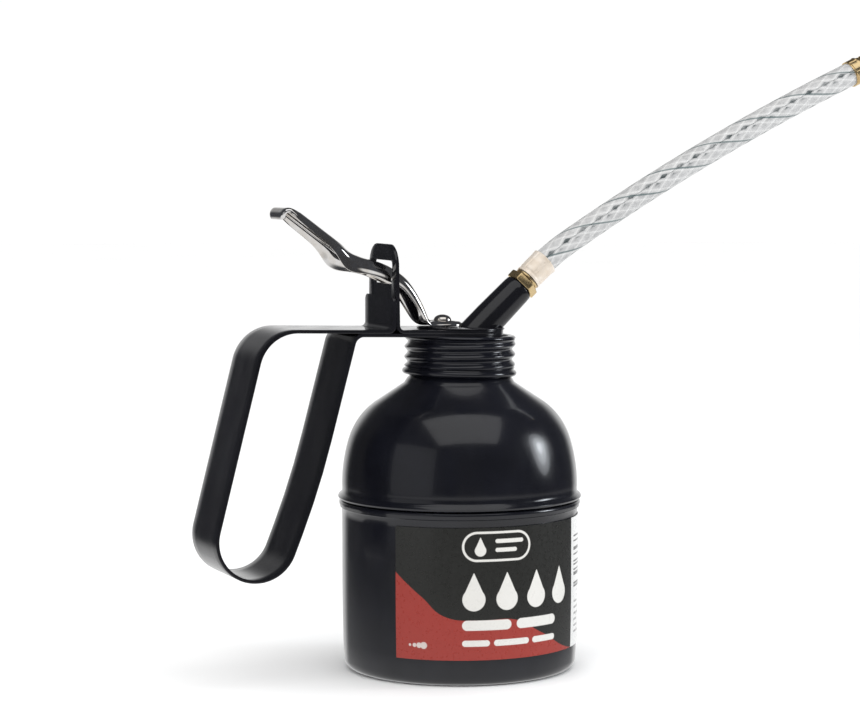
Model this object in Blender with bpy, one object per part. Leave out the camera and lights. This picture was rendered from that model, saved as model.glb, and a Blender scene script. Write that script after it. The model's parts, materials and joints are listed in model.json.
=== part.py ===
"""Thumb-lever pump oil can with a flexible spout, built from its separate pieces.

Units are metres and +Z is up.  The origin is the centre of the can's flat base.
+X points to the spout, -X to the handle, and the strap's width lies along Y.
"""
from math import atan2
from math import cos
from math import pi
from math import radians
from math import sin
from math import sqrt
from math import tan

import bmesh
import bpy
from mathutils import Matrix
from mathutils import Vector

# ---------------------------------------------------------------- clearances
SHEET_GAP = 0.00015       # between pressed sheets that are clamped flat together
SEAT_GAP = 0.0002         # between a piece and the seat it rests on
FIT_GAP = 0.0003          # between a spigot, screw or tube and its hole
THREAD_GAP = 0.00035      # between the cap's thread and the neck's thread

# ----------------------------------------------------------------------- can
CAN_RADIUS = 0.0370
CAN_SHEET = 0.0006
CAN_SEGMENTS = 40
BASE_TAPER = 0.00055      # the drawn wall is this much narrower just above the rounded foot
BASE_RADIUS = CAN_RADIUS - BASE_TAPER
FOOT_CORNER = 0.0030
WALL_FULL_HEIGHT = 0.0300  # height at which the drawn wall reaches full radius
SEAM_HEIGHT = 0.0532
SEAM_OVERHANG = 0.0012    # how far the seam's bead stands out from the wall
SEAM_RADIUS = CAN_RADIUS + SEAM_OVERHANG
SEAM_HALF_HEIGHT = 0.0021
DOME_FOOT = 0.0022        # straight wall between the seam bead and the dome
SHOULDER_RADIUS = 0.0500  # gentle lower arc of the dome
SHOULDER_ANGLE = radians(17)
CROWN_RADIUS = 0.0220     # tighter upper arc of the dome
CROWN_ANGLE = radians(54)
NECK_RADIUS = 0.0167
NECK_FOOT_HEIGHT = 0.0913

# ---------------------------------------------------------- screw cap and neck
THREAD_PITCH = 0.0032
THREAD_DEPTH = 0.0005     # half of the height of a thread ridge
THREAD_FADE = 0.0012      # length over which a thread runs out
THREAD_ROWS = 5           # rows of vertices in one turn of thread
CAP_RADIUS = 0.0169       # middle of the cap's rolled thread
CAP_SHEET = 0.0005
CAP_TOP = 0.1048
CAP_BOTTOM = 0.0921
CAP_BEAD_RADIUS = 0.01795
CAP_BEAD_HEIGHT = 0.0020
CAP_SEGMENTS = 32
GASKET_THICKNESS = 0.0014
GASKET_INNER_RADIUS = 0.0127
NECK_WALL = 0.0005

# -------------------------------------------------------------- strap handle
STRAP_WIDTH = 0.0245
STRAP_THICKNESS = 0.00105
STRAP_END_RADIUS = 0.0138
UPRIGHT_X = -0.02575      # plane between the two uprights
UPRIGHT_BEND = 0.0020
SHORT_UPRIGHT_TOP = 0.1176
HANDLE_TOP_BEND = 0.0125
HANDLE_BOTTOM_BEND = 0.0123
HANDLE_RETURN_BEND = 0.0033
HANDLE_SWEEP_BEND = 0.2500
HANDLE_BOTTOM = 0.0320
OUTER_LEG_SLOPE = tan(radians(14.5))
OUTER_LEG_X = -0.0831     # outer leg's centre line at the leg reference height
LEG_REFERENCE_HEIGHT = 0.0480
INNER_LEG_SLOPE = tan(radians(15.3))
INNER_LEG_TOP_X = -0.0392  # inner leg's centre line at the lower strap layer
SWEEP_HEIGHT = 0.0600     # height of the inner leg's gentle outward sweep
SWEEP_SLOPE = tan(radians(22.0))

# ------------------------------------------------------------- lever bracket
BRACKET_TOP = 0.1335
BRACKET_TOP_WIDTH = 0.0230
BRACKET_CORNER = 0.0048
WINDOW_WIDTH = 0.0164
WINDOW_SILL = 0.1213
WINDOW_HEIGHT = 0.0072
WINDOW_CORNER = 0.0012

# ------------------------------------------------------------------ pump head
PUMP_X = -0.0057
FLANGE_RADIUS = 0.0138
FLANGE_THICKNESS = 0.00085
GLAND_SPIGOT_RADIUS = 0.0036
PORT_X = 0.0088
PORT_SPIGOT_RADIUS = 0.0024
PORT_BORE = 0.0016
BOSS_RADIUS = 0.0024
BOSS_X = 0.0015
BOSS_Y = 0.0086
SCREW_RADIUS = 0.00125
SCREW_HEAD_RADIUS = 0.0024
SCREW_HEAD_HEIGHT = 0.0018
SOCKET_TILT = radians(43)
SOCKET_LENGTH = 0.0160
SOCKET_BASE_RADIUS = 0.0052
SOCKET_END_RADIUS = 0.0048
SOCKET_BORE = 0.0029
SOCKET_BORE_DEPTH = 0.0072

# ------------------------------------------------------------------ pump body
BODY_RADIUS = 0.0123
BODY_HEIGHT = 0.0099
SPIGOT_DEPTH = 0.0009     # how far the head's spigots reach into the body
PACKING_HEIGHT = 0.0015
LEDGE_THICKNESS = 0.0010
BARREL_RADIUS = 0.0055
BARREL_BORE = 0.0048
BARREL_SEAT_DEPTH = 0.0032
BARREL_LENGTH = 0.0430
CROSS_PORT_RADIUS = 0.0012
CHAMBER_HEIGHT = 0.0028

# ------------------------------------------------------- rod, piston, spring
ROD_RADIUS = 0.0016
ROD_HEAD_RADIUS = 0.00285
ROD_HEAD_HEIGHT = 0.0026
PISTON_CLEARANCE = 0.0003  # the piston runs clear of the bore, and its cup seals it
PISTON_RADIUS = BARREL_BORE - PISTON_CLEARANCE
PISTON_HEIGHT = 0.0040
PISTON_DEPTH = 0.0310     # piston's top below the cap's top, at rest
CUP_HEIGHT = 0.0022
CUP_CLEARANCE = 0.00015
PISTON_NUT_RADIUS = 0.0027
PISTON_NUT_HEIGHT = 0.0018
SPRING_WIRE = 0.0004
SPRING_RADIUS = 0.0033
SPRING_TURNS = 8
SPRING_STEPS = 10
WASHER_THICKNESS = 0.0006

# --------------------------------------------------------------- foot valve
FOOT_COLLAR_HEIGHT = 0.0075
FOOT_SPIGOT_HEIGHT = 0.0046
FOOT_CAGE_RADIUS = 0.0022
FOOT_SEAT_RADIUS = 0.0013
FOOT_SEAT_RISE = 0.0012
BALL_RADIUS = 0.0018
BALL_LIFT = 0.0012
PIN_RADIUS = 0.0005
TUBE_RADIUS = 0.0021
TUBE_BORE = 0.0015
TUBE_SOCKET_DEPTH = 0.0045
TUBE_BOTTOM = 0.0050

# --------------------------------------------------------------- thumb lever
LEVER_THICKNESS = 0.0009
LEVER_HALF_WIDTH = 0.0060
THUMB_HALF_WIDTH = 0.0080
EYE_HALF_WIDTH = 0.0052
EYE_TIP = 0.0063          # eye beyond the rod's axis
EYE_GAP = 0.0004          # between the eye and the pump head, at rest
EYE_RIM = 0.0001          # depth of the rim below the flat eye
LEVER_STROKE = radians(22)
NOSE_RADIUS = 0.0029

# ------------------------------------------------------------ flexible spout
HEX_ACROSS_FLATS = 0.0099
HEX_LENGTH = 0.0027
FITTING_SPIGOT_RADIUS = 0.0026
FITTING_SPIGOT_LENGTH = 0.0062
FITTING_BORE = 0.0012
BARB_RADIUS = 0.0022
BARB_LENGTH = 0.0065
FITTING_WASHER_RADIUS = 0.0043
FITTING_WASHER_THICKNESS = 0.0008
HOSE_RADIUS = 0.0039
HOSE_BORE = 0.0027
HOSE_LENGTH = 0.1370
HOSE_ANGLE_AFTER_CRIMP = radians(36.5)
HOSE_ANGLE_AT_TIP = radians(23.0)
HOSE_CRIMP_BEND = 0.0100
HOSE_SIDES = 14
HOSE_STEP = 0.0065
FLEX_DISTANCE = 0.0540    # flex point's distance along the hose
FERRULE_WALL = 0.0004
FERRULE_LENGTH = 0.0089
NOZZLE_COLLAR_RADIUS = 0.0040
NOZZLE_COLLAR_LENGTH = 0.0035
NOZZLE_LENGTH = 0.0220
NOZZLE_TIP_RADIUS = 0.0016
NOZZLE_BORE = 0.0008

# --------------------------------------------------------------------- label
LABEL_BOTTOM = 0.0082
LABEL_TOP = 0.0486
LABEL_FIRST_FACET = -16   # counted in facets of the can, from +X
LABEL_LAST_FACET = -1
LABEL_THICKNESS = 0.0002

# ------------------------------------------------------------ derived levels
LOWER_LAYER = CAP_TOP + SHEET_GAP
UPPER_LAYER = LOWER_LAYER + STRAP_THICKNESS + SHEET_GAP
FLANGE_BOTTOM = UPPER_LAYER + STRAP_THICKNESS + SHEET_GAP
FLANGE_TOP = FLANGE_BOTTOM + FLANGE_THICKNESS
CAP_UNDERSIDE = CAP_TOP - CAP_SHEET
GASKET_TOP = CAP_UNDERSIDE - SEAT_GAP
NECK_RIM = GASKET_TOP - GASKET_THICKNESS - SEAT_GAP
NECK_THREAD_RADIUS = CAP_RADIUS - CAP_SHEET - THREAD_GAP
NECK_BORE = NECK_THREAD_RADIUS - THREAD_DEPTH - NECK_WALL
BODY_TOP = CAP_UNDERSIDE - SEAT_GAP
BODY_BOTTOM = BODY_TOP - BODY_HEIGHT
SPIGOT_BOTTOM = BODY_TOP - SPIGOT_DEPTH
PACKING_TOP = SPIGOT_BOTTOM - SEAT_GAP
LEDGE_TOP = PACKING_TOP - PACKING_HEIGHT - SEAT_GAP
CHAMBER_TOP = LEDGE_TOP - LEDGE_THICKNESS
BARREL_TOP = BODY_BOTTOM + BARREL_SEAT_DEPTH - SEAT_GAP
BARREL_BOTTOM = BARREL_TOP - BARREL_LENGTH
SPRING_WASHER_BOTTOM = CHAMBER_TOP - SEAT_GAP - WASHER_THICKNESS
PISTON_TOP = CAP_TOP - PISTON_DEPTH
PISTON_BOTTOM = PISTON_TOP - PISTON_HEIGHT
CUP_BOTTOM = PISTON_BOTTOM - SEAT_GAP - CUP_HEIGHT
PISTON_NUT_BOTTOM = CUP_BOTTOM - SEAT_GAP - PISTON_NUT_HEIGHT
EYE_BOTTOM = FLANGE_TOP + EYE_GAP
EYE_TOP = EYE_BOTTOM + LEVER_THICKNESS
ROD_HEAD_BOTTOM = EYE_TOP + FIT_GAP
BRACKET_X = UPRIGHT_X + (SHEET_GAP + STRAP_THICKNESS) / 2
SHORT_UPRIGHT_X = UPRIGHT_X - (SHEET_GAP + STRAP_THICKNESS) / 2
PIVOT = Vector((BRACKET_X, 0.0, WINDOW_SILL + SHEET_GAP))
FOOT_TOP = BARREL_BOTTOM + FOOT_SPIGOT_HEIGHT
FOOT_BOTTOM = BARREL_BOTTOM - SEAT_GAP - FOOT_COLLAR_HEIGHT
TUBE_TOP = FOOT_BOTTOM + TUBE_SOCKET_DEPTH
SEAT_BOTTOM = TUBE_TOP + 0.0012
SOCKET_BASE = Vector((PORT_X, 0.0, FLANGE_TOP))
SOCKET_AXIS = Vector((cos(SOCKET_TILT), 0.0, sin(SOCKET_TILT)))
SOCKET_END = SOCKET_BASE + SOCKET_AXIS * SOCKET_LENGTH


# ------------------------------------------------------------------ materials
def make_material(name, colour, metallic, roughness):
    """Return a Principled material."""
    made = bpy.data.materials.new(name)
    made.use_nodes = True
    shader = made.node_tree.nodes["Principled BSDF"]
    shader.inputs["Base Color"].default_value = (*colour, 1.0)
    shader.inputs["Metallic"].default_value = metallic
    shader.inputs["Roughness"].default_value = roughness
    made.diffuse_color = (*colour, 1.0)
    return made


def make_palette():
    """Return the object's materials by name."""
    return {
        "enamel": make_material("navy_black_enamel", (0.010, 0.011, 0.018), 0.0, 0.12),
        "satin": make_material("black_satin_paint", (0.020, 0.020, 0.023), 0.0, 0.32),
        "chrome": make_material("chrome_plate", (0.78, 0.78, 0.80), 1.0, 0.08),
        "steel": make_material("bright_steel", (0.56, 0.57, 0.58), 1.0, 0.30),
        "brass": make_material("brass", (0.72, 0.52, 0.22), 1.0, 0.25),
        "ferrule": make_material("plated_ferrule", (0.70, 0.62, 0.50), 1.0, 0.28),
        "hose": make_material("clear_braided_hose", (0.74, 0.77, 0.78), 0.0, 0.30),
        "rubber": make_material("black_rubber", (0.025, 0.025, 0.025), 0.0, 0.70),
        "leather": make_material("brown_leather", (0.22, 0.12, 0.06), 0.0, 0.75),
        "paper": make_material("label_paper", (0.08, 0.08, 0.07), 0.0, 0.40),
    }


# -------------------------------------------------------------- mesh builders
def finish(name, mesh_data, material, parent=None, origin=(0.0, 0.0, 0.0), crease=35.0):
    """Turn a bmesh in world coordinates into an object whose origin is given."""
    bmesh.ops.recalc_face_normals(mesh_data, faces=mesh_data.faces)
    bmesh.ops.translate(mesh_data, vec=-Vector(origin), verts=mesh_data.verts)
    mesh = bpy.data.meshes.new(name)
    mesh_data.to_mesh(mesh)
    mesh_data.free()
    mesh.shade_smooth()
    mesh.set_sharp_from_angle(angle=radians(crease))
    made = bpy.data.objects.new(name, mesh)
    bpy.context.collection.objects.link(made)
    if material is not None:
        mesh.materials.append(material)
    made.location = Vector(origin)
    if parent is not None:
        made.parent = parent
        made.location -= parent.location
    return made


def make_empty(name, location):
    """Return an empty that marks a joint's axis."""
    made = bpy.data.objects.new(name, None)
    made.empty_display_size = 0.01
    made.location = Vector(location)
    bpy.context.collection.objects.link(made)
    return made


def bridge(mesh_data, first, second):
    """Join two rings of equal size, or a ring and a single point."""
    count = max(len(first), len(second))
    for index in range(count):
        following = (index + 1) % count
        if len(first) == 1:
            mesh_data.faces.new((first[0], second[index], second[following]))
        elif len(second) == 1:
            mesh_data.faces.new((first[index], first[following], second[0]))
        else:
            corners = (first[index], first[following], second[following], second[index])
            mesh_data.faces.new(corners)


def add_turned(mesh_data, profile, segments, place=None, hexagon=()):
    """Turn a profile of (radius, height[, thread depth]) rows about local Z.

    A profile that starts and ends on the axis is a solid, any other is a ring.
    The rows numbered in hexagon have six flats, with the radius across them.
    """
    place = place or Matrix()
    flat_ends = [end[0][0] == 0.0 and end[0][1] == end[1][1] for end in (profile, profile[::-1])]
    solid = profile[0][0] == 0.0
    rings = []
    for number, row in enumerate(profile):
        radius, height = row[0], row[1]
        depth = row[2] if len(row) > 2 else 0.0
        if radius == 0.0:
            if not flat_ends[0 if number == 0 else 1]:
                rings.append([mesh_data.verts.new(place @ Vector((0.0, 0.0, height)))])
            continue
        ring = []
        for index in range(segments):
            angle = 2 * pi * index / segments
            reach = radius + depth * cos(2 * pi * height / THREAD_PITCH - angle)
            if number in hexagon:
                reach = radius / cos((angle + pi / 6) % (pi / 3) - pi / 6)
            spot = Vector((reach * cos(angle), reach * sin(angle), height))
            ring.append(mesh_data.verts.new(place @ spot))
        rings.append(ring)
    for first, second in zip(rings, rings[1:]):
        bridge(mesh_data, first, second)
    for flat, ring in zip(flat_ends, (rings[0], rings[-1])):
        if flat:
            mesh_data.faces.new(ring)
    if not solid:
        bridge(mesh_data, rings[-1], rings[0])


def turned(name, profile, material, segments=16, place=None, hexagon=(), **options):
    """Return one turned object."""
    mesh_data = bmesh.new()
    add_turned(mesh_data, profile, segments, place, hexagon)
    return finish(name, mesh_data, material, **options)


def sleeve(inner, outer, low, high):
    """Return the profile of a plain ring."""
    return [(inner, high), (outer, high), (outer, low), (inner, low)]


def rod_profile(steps):
    """Return a solid's profile from (radius, low, high) steps, top step first."""
    profile = [(0.0, steps[0][2])]
    for radius, low, high in steps:
        profile.append((radius, high))
        profile.append((radius, low))
    profile.append((0.0, steps[-1][1]))
    return profile


def upright(x, y=0.0):
    """Return the placement of a vertical axis through (x, y)."""
    return Matrix.Translation((x, y, 0.0))


def along_spout(distance):
    """Return the placement of the socket's axis, measured from its mouth."""
    turn = Matrix.Rotation(pi / 2 - SOCKET_TILT, 4, "Y")
    return Matrix.Translation(SOCKET_END + SOCKET_AXIS * distance) @ turn


def arc(centre, radius, start, end, steps):
    """Return points on an arc in a plane, both ends included."""
    points = []
    for step in range(steps + 1):
        angle = start + (end - start) * step / steps
        points.append((centre[0] + radius * cos(angle), centre[1] + radius * sin(angle)))
    return points


def rounded_path(corners, arc_steps):
    """Return a path through (x, z, radius) corners, each rounded by its radius."""
    points = [Vector(corners[0][:2])]
    for before, corner, after in zip(corners, corners[1:], corners[2:]):
        here = Vector(corner[:2])
        incoming = (here - Vector(before[:2])).normalized()
        outgoing = (Vector(after[:2]) - here).normalized()
        turn = incoming.angle_signed(outgoing)
        reach = corner[2] * tan(abs(turn) / 2)
        start = here - incoming * reach
        side = -1.0 if turn > 0 else 1.0
        centre = start + Vector((-incoming.y, incoming.x)) * side * corner[2]
        steps = max(2, round(arc_steps * abs(turn) / pi) * 2)
        for step in range(steps + 1):
            spin = Matrix.Rotation(-turn * step / steps, 2)
            points.append(centre + spin @ (start - centre))
    points.append(Vector(corners[-1][:2]))
    return points


def path_frames(points):
    """Return (point, tangent) along a planar path, with mitred tangents."""
    frames = []
    for index, point in enumerate(points):
        before = points[max(index - 1, 0)]
        after = points[min(index + 1, len(points) - 1)]
        frames.append((point, (after - before).normalized()))
    return frames


def ribbon(name, points, half_width, material, **options):
    """Return a strap of constant thickness that follows a path in the XZ plane."""
    mesh_data = bmesh.new()
    sections = []
    for point, tangent in path_frames(points):
        normal = Vector((-tangent.y, tangent.x)) * STRAP_THICKNESS / 2
        width = half_width(point)
        section = []
        for side, lift in ((1, 1), (-1, 1), (-1, -1), (1, -1)):
            spot = point + normal * lift
            section.append(mesh_data.verts.new((spot.x, side * width, spot.y)))
        sections.append(section)
    for first, second in zip(sections, sections[1:]):
        bridge(mesh_data, first, second)
    mesh_data.faces.new(sections[0])
    mesh_data.faces.new(sections[-1])
    return finish(name, mesh_data, material, **options)


def add_prism(mesh_data, outline, low, high, axis):
    """Extrude a closed outline along X or Z, from low to high."""
    rings = []
    for level in (low, high):
        ring = []
        for first, second in outline:
            spot = (level, first, second) if axis == "X" else (first, second, level)
            ring.append(mesh_data.verts.new(spot))
        rings.append(ring)
    bridge(mesh_data, rings[0], rings[1])
    mesh_data.faces.new(rings[0])
    mesh_data.faces.new(rings[1])


def rounded_rectangle(width, low, high, corner, steps=4):
    """Return the outline of a rectangle with round corners, centred on zero."""
    outline = []
    inset = width / 2 - corner
    outline += arc((inset, low + corner), corner, -pi / 2, 0.0, steps)
    outline += arc((inset, high - corner), corner, 0.0, pi / 2, steps)
    outline += arc((-inset, high - corner), corner, pi / 2, pi, steps)
    outline += arc((-inset, low + corner), corner, pi, 3 * pi / 2, steps)
    return outline


def make_cutter(name, mesh_data):
    """Turn a bmesh into a hidden tool object."""
    tool = finish(name, mesh_data, None)
    tool.hide_render = True
    tool.display_type = "WIRE"
    return tool


def combine(target, tool, operation):
    """Join a hidden tool to an object, or cut it away."""
    step = target.modifiers.new(tool.name, "BOOLEAN")
    step.operation = operation
    step.object = tool
    step.solver = "EXACT"


# ---------------------------------------------------------------------- can
def can_radius(height):
    """Return the outer radius of the drawn lower wall at a height."""
    share = min(1.0, max(0.0, (WALL_FULL_HEIGHT - height) / WALL_FULL_HEIGHT))
    return CAN_RADIUS - (CAN_RADIUS - BASE_RADIUS) * share ** 2


def make_can_base(palette, parent):
    """The drawn lower cup with a flat bottom and the lower half of the seam bead."""
    foot_inset = BASE_RADIUS - FOOT_CORNER
    foot = arc((foot_inset, FOOT_CORNER), FOOT_CORNER, -pi / 2, 0.0, 3)
    wall_heights = (0.014, 0.022, WALL_FULL_HEIGHT)
    outer = [(0.0, 0.0)] + foot + [(can_radius(z), z) for z in wall_heights]
    rim = SEAM_HEIGHT - SHEET_GAP
    bead = SEAM_HEIGHT - SEAM_HALF_HEIGHT
    outer += [(CAN_RADIUS, bead), (SEAM_RADIUS - 0.0004, bead + 0.0005)]
    outer += [(SEAM_RADIUS, bead + 0.0011), (SEAM_RADIUS, rim)]
    inner = [(CAN_RADIUS - CAN_SHEET, rim), (CAN_RADIUS - CAN_SHEET, WALL_FULL_HEIGHT)]
    inner += [(can_radius(z) - CAN_SHEET, z) for z in reversed(wall_heights[:-1])]
    inner += arc((foot_inset, FOOT_CORNER), FOOT_CORNER - CAN_SHEET, 0.0, -pi / 2, 3)
    inner += [(0.0, CAN_SHEET)]
    turned("can_base", outer + inner, palette["enamel"], CAN_SEGMENTS, parent=parent)


def dome_profile(inset, lower_steps, upper_steps):
    """Return the dome's rows from the seam up to the neck, inset by the sheet."""
    start = SEAM_HEIGHT + SEAM_HALF_HEIGHT + DOME_FOOT
    lower_centre = (CAN_RADIUS - SHOULDER_RADIUS, start)
    rows = arc(lower_centre, SHOULDER_RADIUS - inset, 0.0, SHOULDER_ANGLE, lower_steps)
    knee_x = lower_centre[0] + (SHOULDER_RADIUS - CROWN_RADIUS) * cos(SHOULDER_ANGLE)
    knee_z = lower_centre[1] + (SHOULDER_RADIUS - CROWN_RADIUS) * sin(SHOULDER_ANGLE)
    knee = (knee_x, knee_z)
    crown = arc(knee, CROWN_RADIUS - inset, SHOULDER_ANGLE, CROWN_ANGLE, upper_steps)
    return rows + crown[1:]


def thread_rows(radius, low, high, outward):
    """Return threaded rows from low to high; run-outs end on the crest or the root."""
    count = round((high - low) / THREAD_PITCH * THREAD_ROWS)
    rows = []
    for step in range(count + 1):
        height = low + (high - low) * step / count
        share = min(1.0, (height - low) / THREAD_FADE, (high - height) / THREAD_FADE)
        shift = THREAD_DEPTH * (1.0 - share)
        rows.append((radius + shift if outward else radius - shift, height, THREAD_DEPTH * share))
    return rows


def make_can_top(palette, parent):
    """The domed upper shell with the upper half of the bead and the threaded neck."""
    rim = SEAM_HEIGHT + SHEET_GAP
    bead = SEAM_HEIGHT + SEAM_HALF_HEIGHT
    outer = [(SEAM_RADIUS, rim), (SEAM_RADIUS, bead - 0.0011)]
    outer += [(SEAM_RADIUS - 0.0004, bead - 0.0005), (CAN_RADIUS, bead)]
    outer += dome_profile(0.0, 3, 5)
    outer += [(NECK_RADIUS + 0.0006, NECK_FOOT_HEIGHT - 0.0012), (NECK_RADIUS, NECK_FOOT_HEIGHT)]
    outer += [(NECK_THREAD_RADIUS - THREAD_DEPTH, CAP_BOTTOM + 0.0006)]
    outer += thread_rows(NECK_THREAD_RADIUS, CAP_BOTTOM + 0.0014, NECK_RIM - 0.0004, False)
    inner = [(NECK_THREAD_RADIUS - THREAD_DEPTH, NECK_RIM), (NECK_BORE, NECK_RIM)]
    inner += [(NECK_BORE, CAP_BOTTOM), (NECK_RADIUS - CAN_SHEET, NECK_FOOT_HEIGHT - 0.0012)]
    inner += list(reversed(dome_profile(CAN_SHEET, 2, 3)))
    inner += [(CAN_RADIUS - CAN_SHEET, rim)]
    turned("can_top", outer + inner, palette["enamel"], CAN_SEGMENTS, parent=parent)


def make_label(palette, parent):
    """The paper label, wrapped over the facets of the can's wall."""
    mesh_data = bmesh.new()
    heights = (LABEL_BOTTOM, 0.014, 0.022, WALL_FULL_HEIGHT, LABEL_TOP)
    columns = []
    for facet in range(LABEL_FIRST_FACET, LABEL_LAST_FACET + 1):
        angle = 2 * pi * facet / CAN_SEGMENTS
        column = []
        for offset, levels in ((SHEET_GAP, heights), (SHEET_GAP + LABEL_THICKNESS, heights[::-1])):
            for height in levels:
                reach = can_radius(height) + offset
                spot = (reach * cos(angle), reach * sin(angle), height)
                column.append(mesh_data.verts.new(spot))
        columns.append(column)
    for first, second in zip(columns, columns[1:]):
        bridge(mesh_data, first, second)
    mesh_data.faces.new(columns[0])
    mesh_data.faces.new(columns[-1])
    finish("wrap_label", mesh_data, palette["paper"], parent=parent)


# ---------------------------------------------------------------- cap, gasket
def make_cap(palette, parent, holes):
    """The pressed screw cap: flat top, rolled thread and a curled lower bead."""
    crest = CAP_RADIUS + THREAD_DEPTH
    bead_top = CAP_BOTTOM + CAP_BEAD_HEIGHT
    low = bead_top + 0.0004
    high = CAP_TOP - 0.0010
    top_edge = arc((crest - 0.0010, CAP_TOP - 0.0010), 0.0010, pi / 2, 0.2, 3)
    rows = thread_rows(CAP_RADIUS, low, high, True)
    outer = [(0.0, CAP_TOP)] + top_edge + list(reversed(rows))
    outer += [(CAP_BEAD_RADIUS - 0.0003, bead_top), (CAP_BEAD_RADIUS, bead_top - 0.0005)]
    outer += [(CAP_BEAD_RADIUS, CAP_BOTTOM + 0.0005), (CAP_BEAD_RADIUS - 0.0003, CAP_BOTTOM)]
    inner = [(crest - CAP_SHEET + 0.0001, CAP_BOTTOM)]
    inner += [(radius - CAP_SHEET, height, depth) for radius, height, depth in rows]
    inner += [(crest - CAP_SHEET - 0.0006, CAP_UNDERSIDE), (0.0, CAP_UNDERSIDE)]
    cap = turned("cap", outer + inner, palette["enamel"], CAP_SEGMENTS, parent=parent)
    combine(cap, holes, "DIFFERENCE")


def make_gasket(palette, parent):
    """The flat sealing ring between the cap and the rim of the neck."""
    outer = CAP_RADIUS - CAP_SHEET - THREAD_DEPTH - FIT_GAP
    ring = sleeve(GASKET_INNER_RADIUS, outer, GASKET_TOP - GASKET_THICKNESS, GASKET_TOP)
    turned("cap_gasket", ring, palette["rubber"], 32, parent=parent)


# ------------------------------------------------------------- strap, bracket
def end_width(distance, full, radius):
    """Return the half width near a round-cornered end, a distance from its tip."""
    if distance >= radius:
        return full
    return full - radius + sqrt(max(0.0, radius ** 2 - (radius - distance) ** 2))


def disc_points(height):
    """Return path points over the strap's round end, from its waist to its tip."""
    waist = -sqrt(STRAP_END_RADIUS ** 2 - (STRAP_WIDTH / 2) ** 2)
    first = atan2(STRAP_WIDTH / 2, waist)
    points = []
    for step in range(12):
        angle = first + (radians(6) - first) * step / 11
        points.append(Vector((STRAP_END_RADIUS * cos(angle), height)))
    return points


def disc_width(x):
    """Return the half width of the strap where its round end may be wider."""
    if abs(x) > STRAP_END_RADIUS:
        return 0.0
    return sqrt(STRAP_END_RADIUS ** 2 - x ** 2)


def make_handle(palette, parent, holes):
    """The strap handle: short upright, top run, loop, and lower layer on the cap."""
    upper = UPPER_LAYER + STRAP_THICKNESS / 2
    lower = LOWER_LAYER + STRAP_THICKNESS / 2
    bottom = HANDLE_BOTTOM + STRAP_THICKNESS / 2
    sweep_x = INNER_LEG_TOP_X - (lower - SWEEP_HEIGHT) * INNER_LEG_SLOPE
    outer_leg_top = OUTER_LEG_X + (upper - LEG_REFERENCE_HEIGHT) * OUTER_LEG_SLOPE
    outer_leg_foot = OUTER_LEG_X - (LEG_REFERENCE_HEIGHT - bottom) * OUTER_LEG_SLOPE
    inner_leg_foot = sweep_x - (SWEEP_HEIGHT - bottom) * SWEEP_SLOPE
    corners = [
        (SHORT_UPRIGHT_X, SHORT_UPRIGHT_TOP, 0.0),
        (SHORT_UPRIGHT_X, SHORT_UPRIGHT_TOP - 0.0006, 0.0001),
        (SHORT_UPRIGHT_X, SHORT_UPRIGHT_TOP - 0.0020, 0.0001),
        (SHORT_UPRIGHT_X, upper, UPRIGHT_BEND),
        (outer_leg_top, upper, HANDLE_TOP_BEND),
        (outer_leg_foot, bottom, HANDLE_BOTTOM_BEND),
        (inner_leg_foot, bottom, HANDLE_BOTTOM_BEND),
        (sweep_x, SWEEP_HEIGHT, HANDLE_SWEEP_BEND),
        (INNER_LEG_TOP_X, lower, HANDLE_RETURN_BEND),
        (-STRAP_END_RADIUS, lower, 0.0),
    ]
    points = without_repeats(rounded_path(corners, 12)[:-1] + disc_points(lower))

    def half_width(point):
        on_upright = point.y > upper and abs(point.x - SHORT_UPRIGHT_X) < STRAP_THICKNESS
        if on_upright:
            return end_width(SHORT_UPRIGHT_TOP - point.y, STRAP_WIDTH / 2, 0.0020)
        if point.y < upper and point.x > -STRAP_END_RADIUS:
            return round_end_half_width(point.x)
        return STRAP_WIDTH / 2

    strap = ribbon("handle_strap", points, half_width, palette["satin"], parent=parent)
    combine(strap, holes, "DIFFERENCE")


def round_end_half_width(x):
    """Return the half width of a strap layer over the cap."""
    if x < 0.0:
        return max(STRAP_WIDTH / 2, disc_width(x))
    return disc_width(x)


def without_repeats(points):
    """Return a path without points that lie on top of each other."""
    kept = [points[0]]
    for point in points[1:]:
        if (point - kept[-1]).length > 0.00005:
            kept.append(point)
    return kept


def make_bracket(palette, parent, holes):
    """The tall upright with the lever's window, whose foot is the upper layer."""
    upper = UPPER_LAYER + STRAP_THICKNESS / 2
    corners = [(BRACKET_X, BRACKET_TOP, 0.0)]
    for step in range(1, 6):
        drop = BRACKET_CORNER * (1 - cos(step * pi / 10))
        corners.append((BRACKET_X, BRACKET_TOP - drop, 0.0))
    corners.append((BRACKET_X, upper, UPRIGHT_BEND))
    corners.append((-STRAP_END_RADIUS, upper, 0.0))
    points = [Vector(corner[:2]) for corner in corners[:6]]
    points += rounded_path(corners[5:], 12)[1:-1] + disc_points(upper)

    def half_width(point):
        if point.x > BRACKET_X + STRAP_THICKNESS:
            return round_end_half_width(point.x)
        share = (point.y - upper) / (BRACKET_TOP - upper)
        full = (STRAP_WIDTH + (BRACKET_TOP_WIDTH - STRAP_WIDTH) * share) / 2
        return end_width(BRACKET_TOP - point.y, full, BRACKET_CORNER)

    bracket = ribbon("lever_bracket", without_repeats(points), half_width, palette["satin"],
                     parent=parent)
    window = bmesh.new()
    top = WINDOW_SILL + WINDOW_HEIGHT
    outline = rounded_rectangle(WINDOW_WIDTH, WINDOW_SILL, top, WINDOW_CORNER)
    add_prism(window, outline, BRACKET_X - 0.002, BRACKET_X + 0.002, "X")
    combine(bracket, make_cutter("window_cutter", window), "DIFFERENCE")
    combine(bracket, holes, "DIFFERENCE")


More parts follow.
